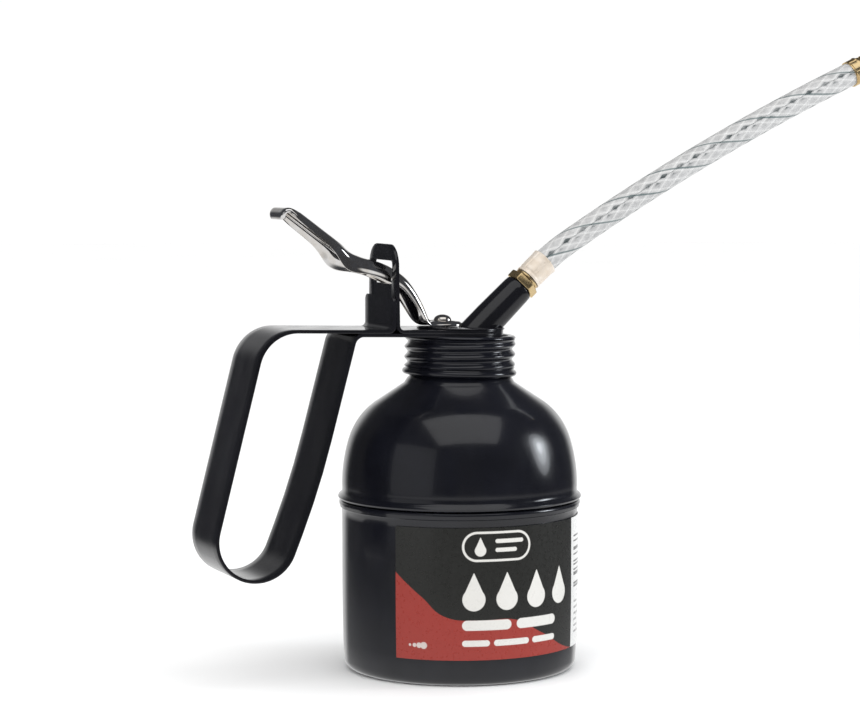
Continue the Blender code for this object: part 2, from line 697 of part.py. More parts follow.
def make_clamp_holes():
    """The holes that the head's spigots pass through in the cap and both layers."""
    holes = bmesh.new()
    for x, y, radius in spigot_spots():
        steps = [(radius + FIT_GAP, CAP_UNDERSIDE - 0.001, FLANGE_BOTTOM)]
        add_turned(holes, rod_profile(steps), 16, upright(x, y))
    return make_cutter("clamp_hole_cutter", holes)


def spigot_spots():
    """Return (x, y, radius) of the pump head's four spigots."""
    return [
        (PUMP_X, 0.0, GLAND_SPIGOT_RADIUS),
        (PORT_X, 0.0, PORT_SPIGOT_RADIUS),
        (BOSS_X, -BOSS_Y, BOSS_RADIUS),
        (BOSS_X, BOSS_Y, BOSS_RADIUS),
    ]


# ------------------------------------------------------------------ pump head
def make_pump_head(palette, parent):
    """The flange with its slanted spout socket and the four spigots below it."""
    edge = 0.0002
    flange = [(0.0, FLANGE_TOP), (FLANGE_RADIUS - edge, FLANGE_TOP), (FLANGE_RADIUS, FLANGE_TOP - edge)]
    flange += [(FLANGE_RADIUS, FLANGE_BOTTOM), (0.0, FLANGE_BOTTOM)]
    head = turned("pump_head", flange, palette["satin"], 36, parent=parent)

    spigots = bmesh.new()
    middle = FLANGE_BOTTOM + FLANGE_THICKNESS / 2
    for x, y, radius in spigot_spots():
        steps = [(radius, SPIGOT_BOTTOM, middle)]
        add_turned(spigots, rod_profile(steps), 16, upright(x, y))
    combine(head, make_cutter("spigot_tool", spigots), "UNION")

    socket = bmesh.new()
    back = -SOCKET_LENGTH - 0.008
    profile = [(0.0, 0.0), (SOCKET_END_RADIUS - 0.0004, 0.0), (SOCKET_END_RADIUS, -0.0004)]
    profile += [(SOCKET_BASE_RADIUS, -SOCKET_LENGTH + 0.002), (SOCKET_BASE_RADIUS, back), (0.0, back)]
    add_turned(socket, profile, 24, along_spout(0.0))
    whole = socket.verts[:] + socket.edges[:] + socket.faces[:]
    cut = bmesh.ops.bisect_plane(socket, geom=whole, plane_co=(0.0, 0.0, middle),
                                 plane_no=(0.0, 0.0, 1.0), clear_inner=True)
    edges = [item for item in cut["geom_cut"] if isinstance(item, bmesh.types.BMEdge)]
    bmesh.ops.holes_fill(socket, edges=edges)
    combine(head, make_cutter("socket_tool", socket), "UNION")

    bores = bmesh.new()
    below = SPIGOT_BOTTOM - 0.001
    rod_bore = [(ROD_RADIUS + FIT_GAP, below, FLANGE_TOP + 0.001)]
    port_bore = [(PORT_BORE, below, FLANGE_TOP + 0.0006)]
    add_turned(bores, rod_profile(rod_bore), 16, upright(PUMP_X))
    add_turned(bores, rod_profile(port_bore), 12, upright(PORT_X))
    for side in (-1, 1):
        steps = [(SCREW_RADIUS + SEAT_GAP, below, FLANGE_BOTTOM)]
        add_turned(bores, rod_profile(steps), 12, upright(BOSS_X, side * BOSS_Y))
    combine(head, make_cutter("head_bore_cutter", bores), "DIFFERENCE")

    spout_bore = bmesh.new()
    steps = [(SOCKET_BORE, -SOCKET_BORE_DEPTH, 0.001), (PORT_BORE, -SOCKET_LENGTH, -SOCKET_BORE_DEPTH)]
    add_turned(spout_bore, rod_profile(steps), 16, along_spout(0.0))
    combine(head, make_cutter("spout_bore_cutter", spout_bore), "DIFFERENCE")


def make_pump_body(palette, parent):
    """The brass block under the cap that joins the barrel to the spout's port."""
    chamfer = 0.0005
    block = [(0.0, BODY_TOP), (BODY_RADIUS - chamfer, BODY_TOP), (BODY_RADIUS, BODY_TOP - chamfer)]
    block += [(BODY_RADIUS, BODY_BOTTOM + chamfer), (BODY_RADIUS - chamfer, BODY_BOTTOM)]
    block += [(0.0, BODY_BOTTOM)]
    body = turned("pump_body", block, palette["brass"], 32, parent=parent)

    above = BODY_TOP + 0.001
    below = BODY_BOTTOM - 0.001
    seat = BODY_BOTTOM + BARREL_SEAT_DEPTH
    cross_height = CHAMBER_TOP - CHAMBER_HEIGHT / 2
    bores = bmesh.new()
    pump_steps = [
        (GLAND_SPIGOT_RADIUS + FIT_GAP, LEDGE_TOP, above),
        (ROD_RADIUS + FIT_GAP, CHAMBER_TOP, LEDGE_TOP),
        (BARREL_BORE, seat, CHAMBER_TOP),
        (BARREL_RADIUS + FIT_GAP, below, seat),
    ]
    port_steps = [
        (PORT_SPIGOT_RADIUS + FIT_GAP, SPIGOT_BOTTOM - SEAT_GAP, above),
        (PORT_BORE, cross_height, SPIGOT_BOTTOM - SEAT_GAP),
    ]
    add_turned(bores, rod_profile(pump_steps), 16, upright(PUMP_X))
    add_turned(bores, rod_profile(port_steps), 12, upright(PORT_X))
    for side in (-1, 1):
        steps = [
            (BOSS_RADIUS + FIT_GAP, SPIGOT_BOTTOM - SEAT_GAP, above),
            (SCREW_RADIUS + SEAT_GAP, below, SPIGOT_BOTTOM - SEAT_GAP),
        ]
        add_turned(bores, rod_profile(steps), 12, upright(BOSS_X, side * BOSS_Y))
    combine(body, make_cutter("body_bore_cutter", bores), "DIFFERENCE")

    cross = bmesh.new()
    lay = Matrix.Translation((PUMP_X, 0.0, cross_height)) @ Matrix.Rotation(pi / 2, 4, "Y")
    steps = [(CROSS_PORT_RADIUS, 0.0, PORT_X - PUMP_X)]
    add_turned(cross, rod_profile(steps), 12, lay)
    combine(body, make_cutter("cross_port_cutter", cross), "DIFFERENCE")


def make_screws(palette, parent):
    """The two screws that clamp head, straps, cap and pump body together."""
    head_top = BODY_BOTTOM - SEAT_GAP
    head_bottom = head_top - SCREW_HEAD_HEIGHT
    for name, side in (("body_screw_front", -1), ("body_screw_rear", 1)):
        profile = [(0.0, FLANGE_BOTTOM - 0.0006), (SCREW_RADIUS, FLANGE_BOTTOM - 0.0006)]
        profile += [(SCREW_RADIUS, head_top), (SCREW_HEAD_RADIUS, head_top)]
        profile += [(SCREW_HEAD_RADIUS, head_bottom), (0.0, head_bottom)]
        turned(name, profile, palette["steel"], 12, upright(BOSS_X, side * BOSS_Y),
               hexagon=(3, 4), parent=parent)


def make_gland(palette, parent):
    """The packing ring that seals the rod and the washer that takes the spring."""
    packing = sleeve(ROD_RADIUS + 0.0001, GLAND_SPIGOT_RADIUS, PACKING_TOP - PACKING_HEIGHT, PACKING_TOP)
    turned("rod_packing", packing, palette["rubber"], 16, upright(PUMP_X), parent=parent)
    low = SPRING_WASHER_BOTTOM
    washer = sleeve(ROD_RADIUS + FIT_GAP, BARREL_BORE - FIT_GAP, low, low + WASHER_THICKNESS)
    turned("spring_washer", washer, palette["steel"], 16, upright(PUMP_X), parent=parent)


def make_barrel(palette, parent):
    """The brass pump barrel that hangs from the pump body."""
    tube = sleeve(BARREL_BORE, BARREL_RADIUS, BARREL_BOTTOM, BARREL_TOP)
    turned("pump_barrel", tube, palette["brass"], 20, upright(PUMP_X), parent=parent)


# --------------------------------------------------------------- foot valve
def ball_height():
    """Return the ball's centre when it lies on its conical seat."""
    spread = FOOT_CAGE_RADIUS - FOOT_SEAT_RADIUS
    slant = sqrt(spread ** 2 + FOOT_SEAT_RISE ** 2)
    touch = BALL_RADIUS + SHEET_GAP
    return SEAT_BOTTOM + (touch * slant - FOOT_SEAT_RADIUS * FOOT_SEAT_RISE) / spread


def make_foot_valve(palette, parent, ball_axis):
    """The foot valve: body with seat and cage, stop pin, ball and suction tube."""
    pin_height = ball_height() + BALL_RADIUS + BALL_LIFT + SHEET_GAP + PIN_RADIUS
    spigot = BARREL_BORE - FIT_GAP
    collar = BARREL_BOTTOM - SEAT_GAP
    profile = [
        (FOOT_CAGE_RADIUS, FOOT_TOP),
        (spigot, FOOT_TOP),
        (spigot, collar),
        (BARREL_RADIUS, collar),
        (BARREL_RADIUS, FOOT_BOTTOM + 0.0008),
        (BARREL_RADIUS - 0.0008, FOOT_BOTTOM),
        (TUBE_RADIUS + FIT_GAP, FOOT_BOTTOM),
        (TUBE_RADIUS + FIT_GAP, TUBE_TOP + SEAT_GAP),
        (FOOT_SEAT_RADIUS, TUBE_TOP + SEAT_GAP),
        (FOOT_SEAT_RADIUS, SEAT_BOTTOM),
        (FOOT_CAGE_RADIUS, SEAT_BOTTOM + FOOT_SEAT_RISE),
    ]
    body = turned("foot_valve_body", profile, palette["brass"], 20, upright(PUMP_X), parent=parent)
    lay = Matrix.Translation((PUMP_X, 0.0, pin_height)) @ Matrix.Rotation(pi / 2, 4, "X")
    hole = bmesh.new()
    steps = [(PIN_RADIUS + SHEET_GAP, -BARREL_RADIUS, BARREL_RADIUS)]
    add_turned(hole, rod_profile(steps), 12, lay)
    combine(body, make_cutter("pin_hole_cutter", hole), "DIFFERENCE")
    pin = rod_profile([(PIN_RADIUS, -spigot + 0.0001, spigot - 0.0001)])
    turned("ball_stop_pin", pin, palette["steel"], 12, lay, parent=parent)

    steps = 8
    ball = []
    for step in range(steps + 1):
        angle = pi * step / steps
        reach = BALL_RADIUS * sin(angle) if 0 < step < steps else 0.0
        ball.append((reach, BALL_RADIUS * cos(angle)))
    centre = Vector((PUMP_X, 0.0, ball_height()))
    turned("foot_valve_ball", ball, palette["steel"], 16, Matrix.Translation(centre),
           parent=ball_axis, origin=centre)

    tube = sleeve(TUBE_BORE, TUBE_RADIUS, TUBE_BOTTOM, TUBE_TOP)
    turned("suction_tube", tube, palette["brass"], 16, upright(PUMP_X), parent=parent)


# -------------------------------------------------------- rod, piston, spring
def make_rod_group(palette, rod_axis):
    """The pump rod with its domed head, and the piston, cup and nut on its end."""
    origin = rod_axis.location
    place = upright(PUMP_X)
    top = ROD_HEAD_BOTTOM + ROD_HEAD_HEIGHT
    brow = ROD_HEAD_BOTTOM + ROD_HEAD_HEIGHT * 0.35
    profile = [(0.0, top)]
    for step in range(1, 5):
        angle = step * pi / 8
        reach = ROD_HEAD_RADIUS * sin(angle)
        profile.append((reach, brow + (top - brow) * cos(angle) if step < 4 else brow))
    profile += [(ROD_HEAD_RADIUS, ROD_HEAD_BOTTOM + 0.0003), (ROD_HEAD_RADIUS - 0.0003, ROD_HEAD_BOTTOM)]
    profile += [(ROD_RADIUS, ROD_HEAD_BOTTOM), (ROD_RADIUS, PISTON_NUT_BOTTOM - 0.0004)]
    profile += [(0.0, PISTON_NUT_BOTTOM - 0.0004)]
    turned("pump_rod", profile, palette["steel"], 24, place, parent=rod_axis, origin=origin)

    hole = ROD_RADIUS + SHEET_GAP
    piston = sleeve(hole, PISTON_RADIUS, PISTON_BOTTOM, PISTON_TOP)
    turned("piston", piston, palette["brass"], 20, place, parent=rod_axis, origin=origin)
    cup_top = CUP_BOTTOM + CUP_HEIGHT
    lip = BARREL_BORE - CUP_CLEARANCE
    cup = [(hole, cup_top), (lip, cup_top), (lip, CUP_BOTTOM), (lip - 0.0008, CUP_BOTTOM)]
    cup += [(lip - 0.0012, cup_top - 0.0010), (PISTON_NUT_RADIUS * 0.95, cup_top - 0.0010)]
    cup += [(hole, cup_top - 0.0010)]
    turned("piston_cup", cup, palette["leather"], 20, place, parent=rod_axis, origin=origin)
    nut_top = cup_top - 0.0010 - SEAT_GAP
    nut = sleeve(hole, PISTON_NUT_RADIUS, PISTON_NUT_BOTTOM, nut_top)
    turned("piston_nut", nut, palette["brass"], 12, place, hexagon=(1, 2),
           parent=rod_axis, origin=origin)


def make_spring(palette, parent):
    """The return spring between the washer and the top of the piston."""
    low = PISTON_TOP + SEAT_GAP + SPRING_WIRE
    high = SPRING_WASHER_BOTTOM - SEAT_GAP - SPRING_WIRE
    count = SPRING_TURNS * SPRING_STEPS
    mesh_data = bmesh.new()
    rings = []
    for step in range(count + 1):
        angle = 2 * pi * step / SPRING_STEPS
        outward = Vector((cos(angle), sin(angle), 0.0))
        centre = Vector((PUMP_X, 0.0, low + (high - low) * step / count)) + outward * SPRING_RADIUS
        ring = []
        for side in range(5):
            turn = 2 * pi * side / 5
            spot = centre + SPRING_WIRE * (outward * cos(turn) + Vector((0.0, 0.0, sin(turn))))
            ring.append(mesh_data.verts.new(spot))
        rings.append(ring)
    for first, second in zip(rings, rings[1:]):
        bridge(mesh_data, first, second)
    mesh_data.faces.new(rings[0])
    mesh_data.faces.new(rings[-1])
    finish("return_spring", mesh_data, palette["steel"], parent=parent, crease=80.0)


# --------------------------------------------------------------- thumb lever
def lever_line():
    """Return the lever's stations: (x, z, half width, depth of the side walls).

    The points lie on the upper face: curled nose, thumb plate, neck through the
    window, drop towards the cap, and flat eye under the rod's head.
    """
    lip = LEVER_THICKNESS + 0.0003
    pad_start = Vector((-0.0604, 0.1452))
    pad_end = Vector((-0.0376, 0.1306))
    slope = (pad_end - pad_start).normalized()
    up = Vector((-slope.y, slope.x))
    centre = pad_start - up * NOSE_RADIUS
    lean = atan2(up.y, up.x)
    stations = []
    for step in range(8):
        angle = radians(238) + (lean - radians(238)) * step / 7
        spot = centre + NOSE_RADIUS * Vector((cos(angle), sin(angle)))
        stations.append((spot.x, spot.y, THUMB_HALF_WIDTH - 0.0012 + 0.0012 * step / 7, lip))
    pad = (pad_end - pad_start).length
    for share, depth in ((0.12, 0.0022), (0.30, 0.0024), (0.55, 0.0024), (0.78, 0.0026)):
        spot = pad_start + slope * pad * share
        stations.append((spot.x, spot.y, THUMB_HALF_WIDTH, depth))
    stations += [
        (-0.0392, 0.1317, THUMB_HALF_WIDTH, 0.0046),
        (-0.0366, 0.1301, THUMB_HALF_WIDTH - 0.0001, 0.0052),
        (-0.0342, 0.1291, THUMB_HALF_WIDTH - 0.0005, 0.0048),
        (-0.0315, 0.1283, LEVER_HALF_WIDTH + 0.0006, 0.0041),
        (-0.0285, 0.1275, LEVER_HALF_WIDTH, 0.0041),
        (PIVOT.x, PIVOT.z + 0.0050, LEVER_HALF_WIDTH, 0.0043),
        (-0.0226, 0.1244, LEVER_HALF_WIDTH, 0.0036),
        (-0.0199, 0.1222, LEVER_HALF_WIDTH, 0.0030),
        (-0.0178, 0.1191, LEVER_HALF_WIDTH, 0.0024),
        (-0.0161, 0.1161, LEVER_HALF_WIDTH, 0.0021),
        (-0.0148, 0.1131, LEVER_HALF_WIDTH, 0.0018),
        (-0.0139, EYE_TOP + 0.0014, LEVER_HALF_WIDTH - 0.0002, 0.0015),
        (-0.0132, EYE_TOP + 0.0004, LEVER_HALF_WIDTH - 0.0005, LEVER_THICKNESS + EYE_RIM),
        (-0.0121, EYE_TOP, EYE_HALF_WIDTH, LEVER_THICKNESS + EYE_RIM),
    ]
    tip = PUMP_X + EYE_TIP
    for angle in (90, 65, 45, 28, 12):
        width = EYE_HALF_WIDTH * sin(radians(angle))
        reach = tip - EYE_HALF_WIDTH + EYE_HALF_WIDTH * cos(radians(angle))
        stations.append((reach, EYE_TOP, width, LEVER_THICKNESS + EYE_RIM))
    return stations


def make_lever(palette, pivot):
    """The pressed channel lever with side walls, ears, curled nose and slotted eye."""
    stations = lever_line()
    points = [Vector((x, z)) for x, z, width, depth in stations]
    mesh_data = bmesh.new()
    sections = []
    for (point, tangent), (x, z, width, depth) in zip(path_frames(points), stations):
        down = Vector((tangent.y, -tangent.x))
        wall = min(LEVER_THICKNESS, width * 0.6)
        outline = (
            (width, 0.0), (-width, 0.0), (-width, depth), (wall - width, depth),
            (wall - width, LEVER_THICKNESS), (width - wall, LEVER_THICKNESS),
            (width - wall, depth), (width, depth),
        )
        section = []
        for across, drop in outline:
            spot = point + down * drop
            section.append(mesh_data.verts.new((spot.x, across, spot.y)))
        sections.append(section)
    for first, second in zip(sections, sections[1:]):
        bridge(mesh_data, first, second)
    mesh_data.faces.new(sections[0])
    mesh_data.faces.new(sections[-1])
    lever = finish("thumb_lever", mesh_data, palette["chrome"], parent=pivot, origin=PIVOT)

    slot = bmesh.new()
    half = ROD_RADIUS + 0.00035
    arm = PUMP_X - PIVOT.x
    drop = PIVOT.z - EYE_TOP
    shift = arm - (arm - drop * sin(LEVER_STROKE)) / cos(LEVER_STROKE)
    outline = arc((PUMP_X, 0.0), half, -pi / 2, pi / 2, 6)
    outline += arc((PUMP_X - shift - 0.0003, 0.0), half, pi / 2, 3 * pi / 2, 6)
    add_prism(slot, outline, EYE_BOTTOM - 0.001, EYE_TOP + 0.001, "Z")
    combine(lever, make_cutter("eye_slot_cutter", slot), "DIFFERENCE")


# ------------------------------------------------------------- spout and hose
def hose_angle(distance):
    """Return the hose's slope at a distance along it from the fitting."""
    if distance < HOSE_CRIMP_BEND:
        share = distance / HOSE_CRIMP_BEND
        ease = share * share * (3 - 2 * share)
        return SOCKET_TILT + (HOSE_ANGLE_AFTER_CRIMP - SOCKET_TILT) * ease
    share = (distance - HOSE_CRIMP_BEND) / (HOSE_LENGTH - HOSE_CRIMP_BEND)
    return HOSE_ANGLE_AFTER_CRIMP + (HOSE_ANGLE_AT_TIP - HOSE_ANGLE_AFTER_CRIMP) * share


def hose_start():
    """Return the distance from the socket's mouth to the hose's lower end."""
    return SEAT_GAP + HEX_LENGTH + SEAT_GAP + FITTING_WASHER_THICKNESS + SEAT_GAP


def hose_point(distance):
    """Return the hose's centre line at a distance along it, as (point, angle)."""
    spot = SOCKET_END + SOCKET_AXIS * hose_start()
    steps = max(1, round(abs(distance) / 0.0005))
    stride = distance / steps
    for step in range(steps):
        angle = hose_angle((step + 0.5) * stride)
        spot = spot + Vector((cos(angle), 0.0, sin(angle))) * stride
    return spot, hose_angle(distance)


def hose_place(distance):
    """Return the placement of the hose's axis at a distance along it."""
    spot, angle = hose_point(distance)
    return Matrix.Translation(spot) @ Matrix.Rotation(pi / 2 - angle, 4, "Y")


def make_pipe(name, rows, inner_rows, material, sides, **options):
    """Return a hollow pipe from (distance, radius, forward) rows along the hose."""
    mesh_data = bmesh.new()
    rings = []
    for distance, radius, forward in rows + inner_rows[::-1]:
        place = hose_place(distance)
        ring = []
        for side in range(sides):
            angle = 2 * pi * side / sides
            spot = Vector((radius * cos(angle), radius * sin(angle), forward))
            ring.append(mesh_data.verts.new(place @ spot))
        rings.append(ring)
    for first, second in zip(rings, rings[1:]):
        bridge(mesh_data, first, second)
    bridge(mesh_data, rings[-1], rings[0])
    return finish(name, mesh_data, material, **options)


def hose_rows(start, end, radius):
    """Return evenly spaced rows between two distances."""
    count = max(1, round((end - start) / HOSE_STEP))
    return [(start + (end - start) * step / count, radius, 0.0) for step in range(count + 1)]


def ball_end_rows(radius, distance):
    """Return rows over a spherical end, from the hose's outside to its bore."""
    rows = []
    for step in range(4):
        reach = HOSE_RADIUS + (HOSE_BORE - HOSE_RADIUS) * step / 3
        rows.append((distance, reach, sqrt(radius ** 2 - reach ** 2)))
    return rows


def make_spout(palette, parent, flex_axis):
    """Fitting, washer, crimped ferrules, the two halves of the hose, and nozzle."""
    hex_start = SEAT_GAP
    hex_end = hex_start + HEX_LENGTH
    chamfer = 0.0004
    flats = HEX_ACROSS_FLATS / 2
    fitting = [
        (FITTING_BORE, -FITTING_SPIGOT_LENGTH),
        (FITTING_SPIGOT_RADIUS - chamfer, -FITTING_SPIGOT_LENGTH),
        (FITTING_SPIGOT_RADIUS, -FITTING_SPIGOT_LENGTH + chamfer),
        (FITTING_SPIGOT_RADIUS, hex_start),
        (flats - chamfer, hex_start),
        (flats, hex_start + chamfer),
        (flats, hex_end - chamfer),
        (flats - chamfer, hex_end),
        (BARB_RADIUS, hex_end),
        (BARB_RADIUS, hex_end + BARB_LENGTH - 0.001),
        (BARB_RADIUS - 0.0005, hex_end + BARB_LENGTH),
        (FITTING_BORE, hex_end + BARB_LENGTH),
    ]
    turned("hex_fitting", fitting, palette["brass"], 24, along_spout(0.0), hexagon=(5, 6), parent=parent)
    washer_low = hex_end + SEAT_GAP
    washer = sleeve(BARB_RADIUS + FIT_GAP, FITTING_WASHER_RADIUS, washer_low,
                    washer_low + FITTING_WASHER_THICKNESS)
    turned("fitting_washer", washer, palette["brass"], 24, along_spout(0.0), parent=parent)

    flex = flex_axis.location
    inside = HOSE_RADIUS + FIT_GAP
    outside = inside + FERRULE_WALL
    ball = HOSE_RADIUS
    cup = HOSE_RADIUS + FIT_GAP
    rim = sqrt(cup ** 2 - HOSE_RADIUS ** 2)
    make_pipe("base_ferrule", hose_rows(0.0, FERRULE_LENGTH, outside),
              hose_rows(0.0, FERRULE_LENGTH, inside), palette["ferrule"], HOSE_SIDES, parent=parent)
    lower = hose_rows(0.0, FLEX_DISTANCE, HOSE_RADIUS) + ball_end_rows(ball, FLEX_DISTANCE)[1:]
    lower_bore = hose_rows(0.0, FLEX_DISTANCE, HOSE_BORE)
    make_pipe("hose_lower", lower, lower_bore, palette["hose"], HOSE_SIDES, parent=parent)
    upper_bore = hose_rows(FLEX_DISTANCE + 2 * rim, HOSE_LENGTH, HOSE_BORE)
    upper = ball_end_rows(cup, FLEX_DISTANCE)[::-1]
    upper += hose_rows(FLEX_DISTANCE + 2 * rim, HOSE_LENGTH, HOSE_RADIUS)
    make_pipe("hose_upper", upper, upper_bore, palette["hose"], HOSE_SIDES,
              parent=flex_axis, origin=flex)
    ferrule_start = HOSE_LENGTH - FERRULE_LENGTH
    make_pipe("tip_ferrule", hose_rows(ferrule_start, HOSE_LENGTH, outside),
              hose_rows(ferrule_start, HOSE_LENGTH, inside), palette["ferrule"], HOSE_SIDES,
              parent=flex_axis, origin=flex)

    collar = SEAT_GAP + NOZZLE_COLLAR_LENGTH
    end = SEAT_GAP + NOZZLE_LENGTH
    nozzle = [
        (NOZZLE_BORE, -BARB_LENGTH),
        (BARB_RADIUS - 0.0005, -BARB_LENGTH),
        (BARB_RADIUS, -BARB_LENGTH + 0.001),
        (BARB_RADIUS, SEAT_GAP),
        (NOZZLE_COLLAR_RADIUS, SEAT_GAP),
        (NOZZLE_COLLAR_RADIUS, collar - 0.0005),
        (NOZZLE_COLLAR_RADIUS - 0.0005, collar),
        (NOZZLE_COLLAR_RADIUS - 0.0012, collar),
        (NOZZLE_TIP_RADIUS, end - 0.0040),
        (NOZZLE_TIP_RADIUS, end - 0.0003),
        (NOZZLE_TIP_RADIUS - 0.0003, end),
        (NOZZLE_BORE, end),
    ]
    turned("nozzle", nozzle, palette["brass"], 24, hose_place(HOSE_LENGTH),
           parent=flex_axis, origin=flex)


# ------------------------------------------------------------------- assembly
def clear_scene():
    """Remove every object of the open scene."""
    for item in list(bpy.data.objects):
        bpy.data.objects.remove(item, do_unlink=True)


def main():
    """Build the whole oil can."""
    clear_scene()
    palette = make_palette()
    can = make_empty("can_axis", (0.0, 0.0, 0.0))
    head = make_empty("head_axis", (0.0, 0.0, CAP_TOP))
    lever_pivot = make_empty("lever_pivot_axis", PIVOT)
    rod_axis = make_empty("rod_axis", (PUMP_X, 0.0, ROD_HEAD_BOTTOM))
    ball_axis = make_empty("ball_axis", (PUMP_X, 0.0, ball_height()))
    flex_axis = make_empty("flex_axis", hose_point(FLEX_DISTANCE)[0])
    holes = make_clamp_holes()

    make_can_base(palette, can)
    make_can_top(palette, can)
    make_label(palette, can)
    make_gasket(palette, head)
    make_cap(palette, head, holes)
    make_handle(palette, head, holes)
    make_bracket(palette, head, holes)
    make_pump_head(palette, head)
    make_pump_body(palette, head)
    make_screws(palette, head)
    make_gland(palette, head)
    make_barrel(palette, head)
    make_foot_valve(palette, head, ball_axis)
    make_spring(palette, head)
    make_rod_group(palette, rod_axis)
    make_lever(palette, lever_pivot)
    make_spout(palette, head, flex_axis)


main()
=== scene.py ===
"""Looks of the thumb-lever pump oil can: its visible pieces, finishes, stage and camera.

Lengths are metres.  The can's axis is +Z, the spout points to +X and the handle to -X.
"""

import json
from math import atan2
from math import cos
from math import pi
from math import radians
from math import sin
from math import sqrt
from math import tan

import bpy
from mathutils import Matrix
from mathutils import Vector

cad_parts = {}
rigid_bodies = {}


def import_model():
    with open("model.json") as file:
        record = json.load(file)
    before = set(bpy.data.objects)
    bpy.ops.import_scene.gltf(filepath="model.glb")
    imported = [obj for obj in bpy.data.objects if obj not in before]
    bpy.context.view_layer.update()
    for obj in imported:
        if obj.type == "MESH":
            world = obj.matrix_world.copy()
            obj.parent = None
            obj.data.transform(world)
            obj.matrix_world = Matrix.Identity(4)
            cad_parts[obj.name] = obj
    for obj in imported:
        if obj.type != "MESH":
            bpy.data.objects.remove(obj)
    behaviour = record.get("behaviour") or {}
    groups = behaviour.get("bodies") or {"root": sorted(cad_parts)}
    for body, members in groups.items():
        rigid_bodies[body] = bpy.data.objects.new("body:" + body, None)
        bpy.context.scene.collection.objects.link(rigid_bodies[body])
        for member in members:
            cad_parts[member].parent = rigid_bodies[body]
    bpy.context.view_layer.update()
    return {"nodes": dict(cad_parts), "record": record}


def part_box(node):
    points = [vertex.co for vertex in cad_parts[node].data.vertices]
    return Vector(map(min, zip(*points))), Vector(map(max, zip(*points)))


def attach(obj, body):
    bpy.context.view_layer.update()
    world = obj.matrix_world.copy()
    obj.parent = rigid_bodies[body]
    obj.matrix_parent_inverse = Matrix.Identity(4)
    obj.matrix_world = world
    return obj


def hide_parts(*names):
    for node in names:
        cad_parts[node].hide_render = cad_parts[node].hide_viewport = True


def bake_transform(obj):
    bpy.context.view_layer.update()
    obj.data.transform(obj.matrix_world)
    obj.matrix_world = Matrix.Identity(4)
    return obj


bl_info = {
    "name": "Pump Oil Can",
    "version": (1, 0, 0),
    "blender": (4, 5, 0),
    "location": "3D Viewport > Sidebar > Oil Can",
    "description": "Models the visible pieces of a thumb-lever pump oil can",
    "category": "Object",
}

for leftover in list(bpy.data.objects):
    bpy.data.objects.remove(leftover, do_unlink=True)

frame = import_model()

# Levels and places that the pieces share. They follow the solid model, except that
# the cap's stack leans and the hose bends a little lower than the solid one.
CAP_LOW, CAP_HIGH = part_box("cap")
STRAP_LOW, STRAP_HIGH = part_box("handle_strap")
BRACKET_LOW, BRACKET_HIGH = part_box("lever_bracket")
HEAD_LOW, HEAD_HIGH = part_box("pump_head")
ROD_LOW, ROD_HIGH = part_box("pump_rod")
LOWER_LOW, LOWER_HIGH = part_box("can_base")
UPPER_LOW, UPPER_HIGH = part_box("can_top")

SHEET_GAP = 0.00003
UPRIGHT_GAP = 0.00015
SEAT_GAP = 0.0002
CAP_TOP = CAP_HIGH.z
CAP_RECESS = 0.00035
STRAP_WIDTH = 0.0245
STRAP_THICKNESS = 0.00105
LOWER_LAYER = CAP_TOP - CAP_RECESS + SHEET_GAP
UPPER_LAYER = LOWER_LAYER + STRAP_THICKNESS + SHEET_GAP
FLANGE_BOTTOM = UPPER_LAYER + STRAP_THICKNESS + SHEET_GAP
FLANGE_TOP = FLANGE_BOTTOM + 0.00050
HEAD_LEAN = radians(1.7)
LEAN_PIVOT = Vector((0.0, 0.0, CAP_LOW.z + 0.001))
LEAN = (Matrix.Translation(LEAN_PIVOT) @ Matrix.Rotation(HEAD_LEAN, 4, "Y")
        @ Matrix.Translation(-LEAN_PIVOT))
PUMP_X = (ROD_LOW.x + ROD_HIGH.x) / 2
DISC_RADIUS = 0.0138
UPRIGHT_X = -0.02575
BRACKET_X = UPRIGHT_X + (UPRIGHT_GAP + STRAP_THICKNESS) / 2
SHORT_UPRIGHT_X = UPRIGHT_X - (UPRIGHT_GAP + STRAP_THICKNESS) / 2
WINDOW_SILL = 0.1213
EYE_TOP = FLANGE_TOP + 0.0013

SOCKET_TILT = radians(43)
SOCKET_AXIS = Vector((cos(SOCKET_TILT), 0.0, sin(SOCKET_TILT)))
SOCKET_LENGTH = 0.0160
SOCKET_END = Vector((0.0205, 0.0, 0.11911))
HEX_LENGTH = 0.0027
WASHER_THICKNESS = 0.0008
HOSE_LENGTH = 0.1370
HOSE_CRIMP_BEND = 0.0220
FERRULE_LENGTH = 0.0078
TIP_RING = 0.0034
HOSE_ANGLE_AFTER_CRIMP = radians(31.5)
HOSE_ANGLE_AT_TIP = radians(23.5)

BACKDROP_HEADING = radians(68)


# ------------------------------------------------------------------ settings
def length(name, description, default):
    """Return a property that holds a length in metres."""
    return bpy.props.FloatProperty(
        name=name, description=description, default=default, min=0.0, precision=5,
        subtype="DISTANCE", unit="LENGTH")


def colour(name, description, default):
    """Return a property that holds a linear colour."""
    return bpy.props.FloatVectorProperty(
        name=name, description=description, default=default, size=3, min=0.0, max=1.0,
        subtype="COLOR")


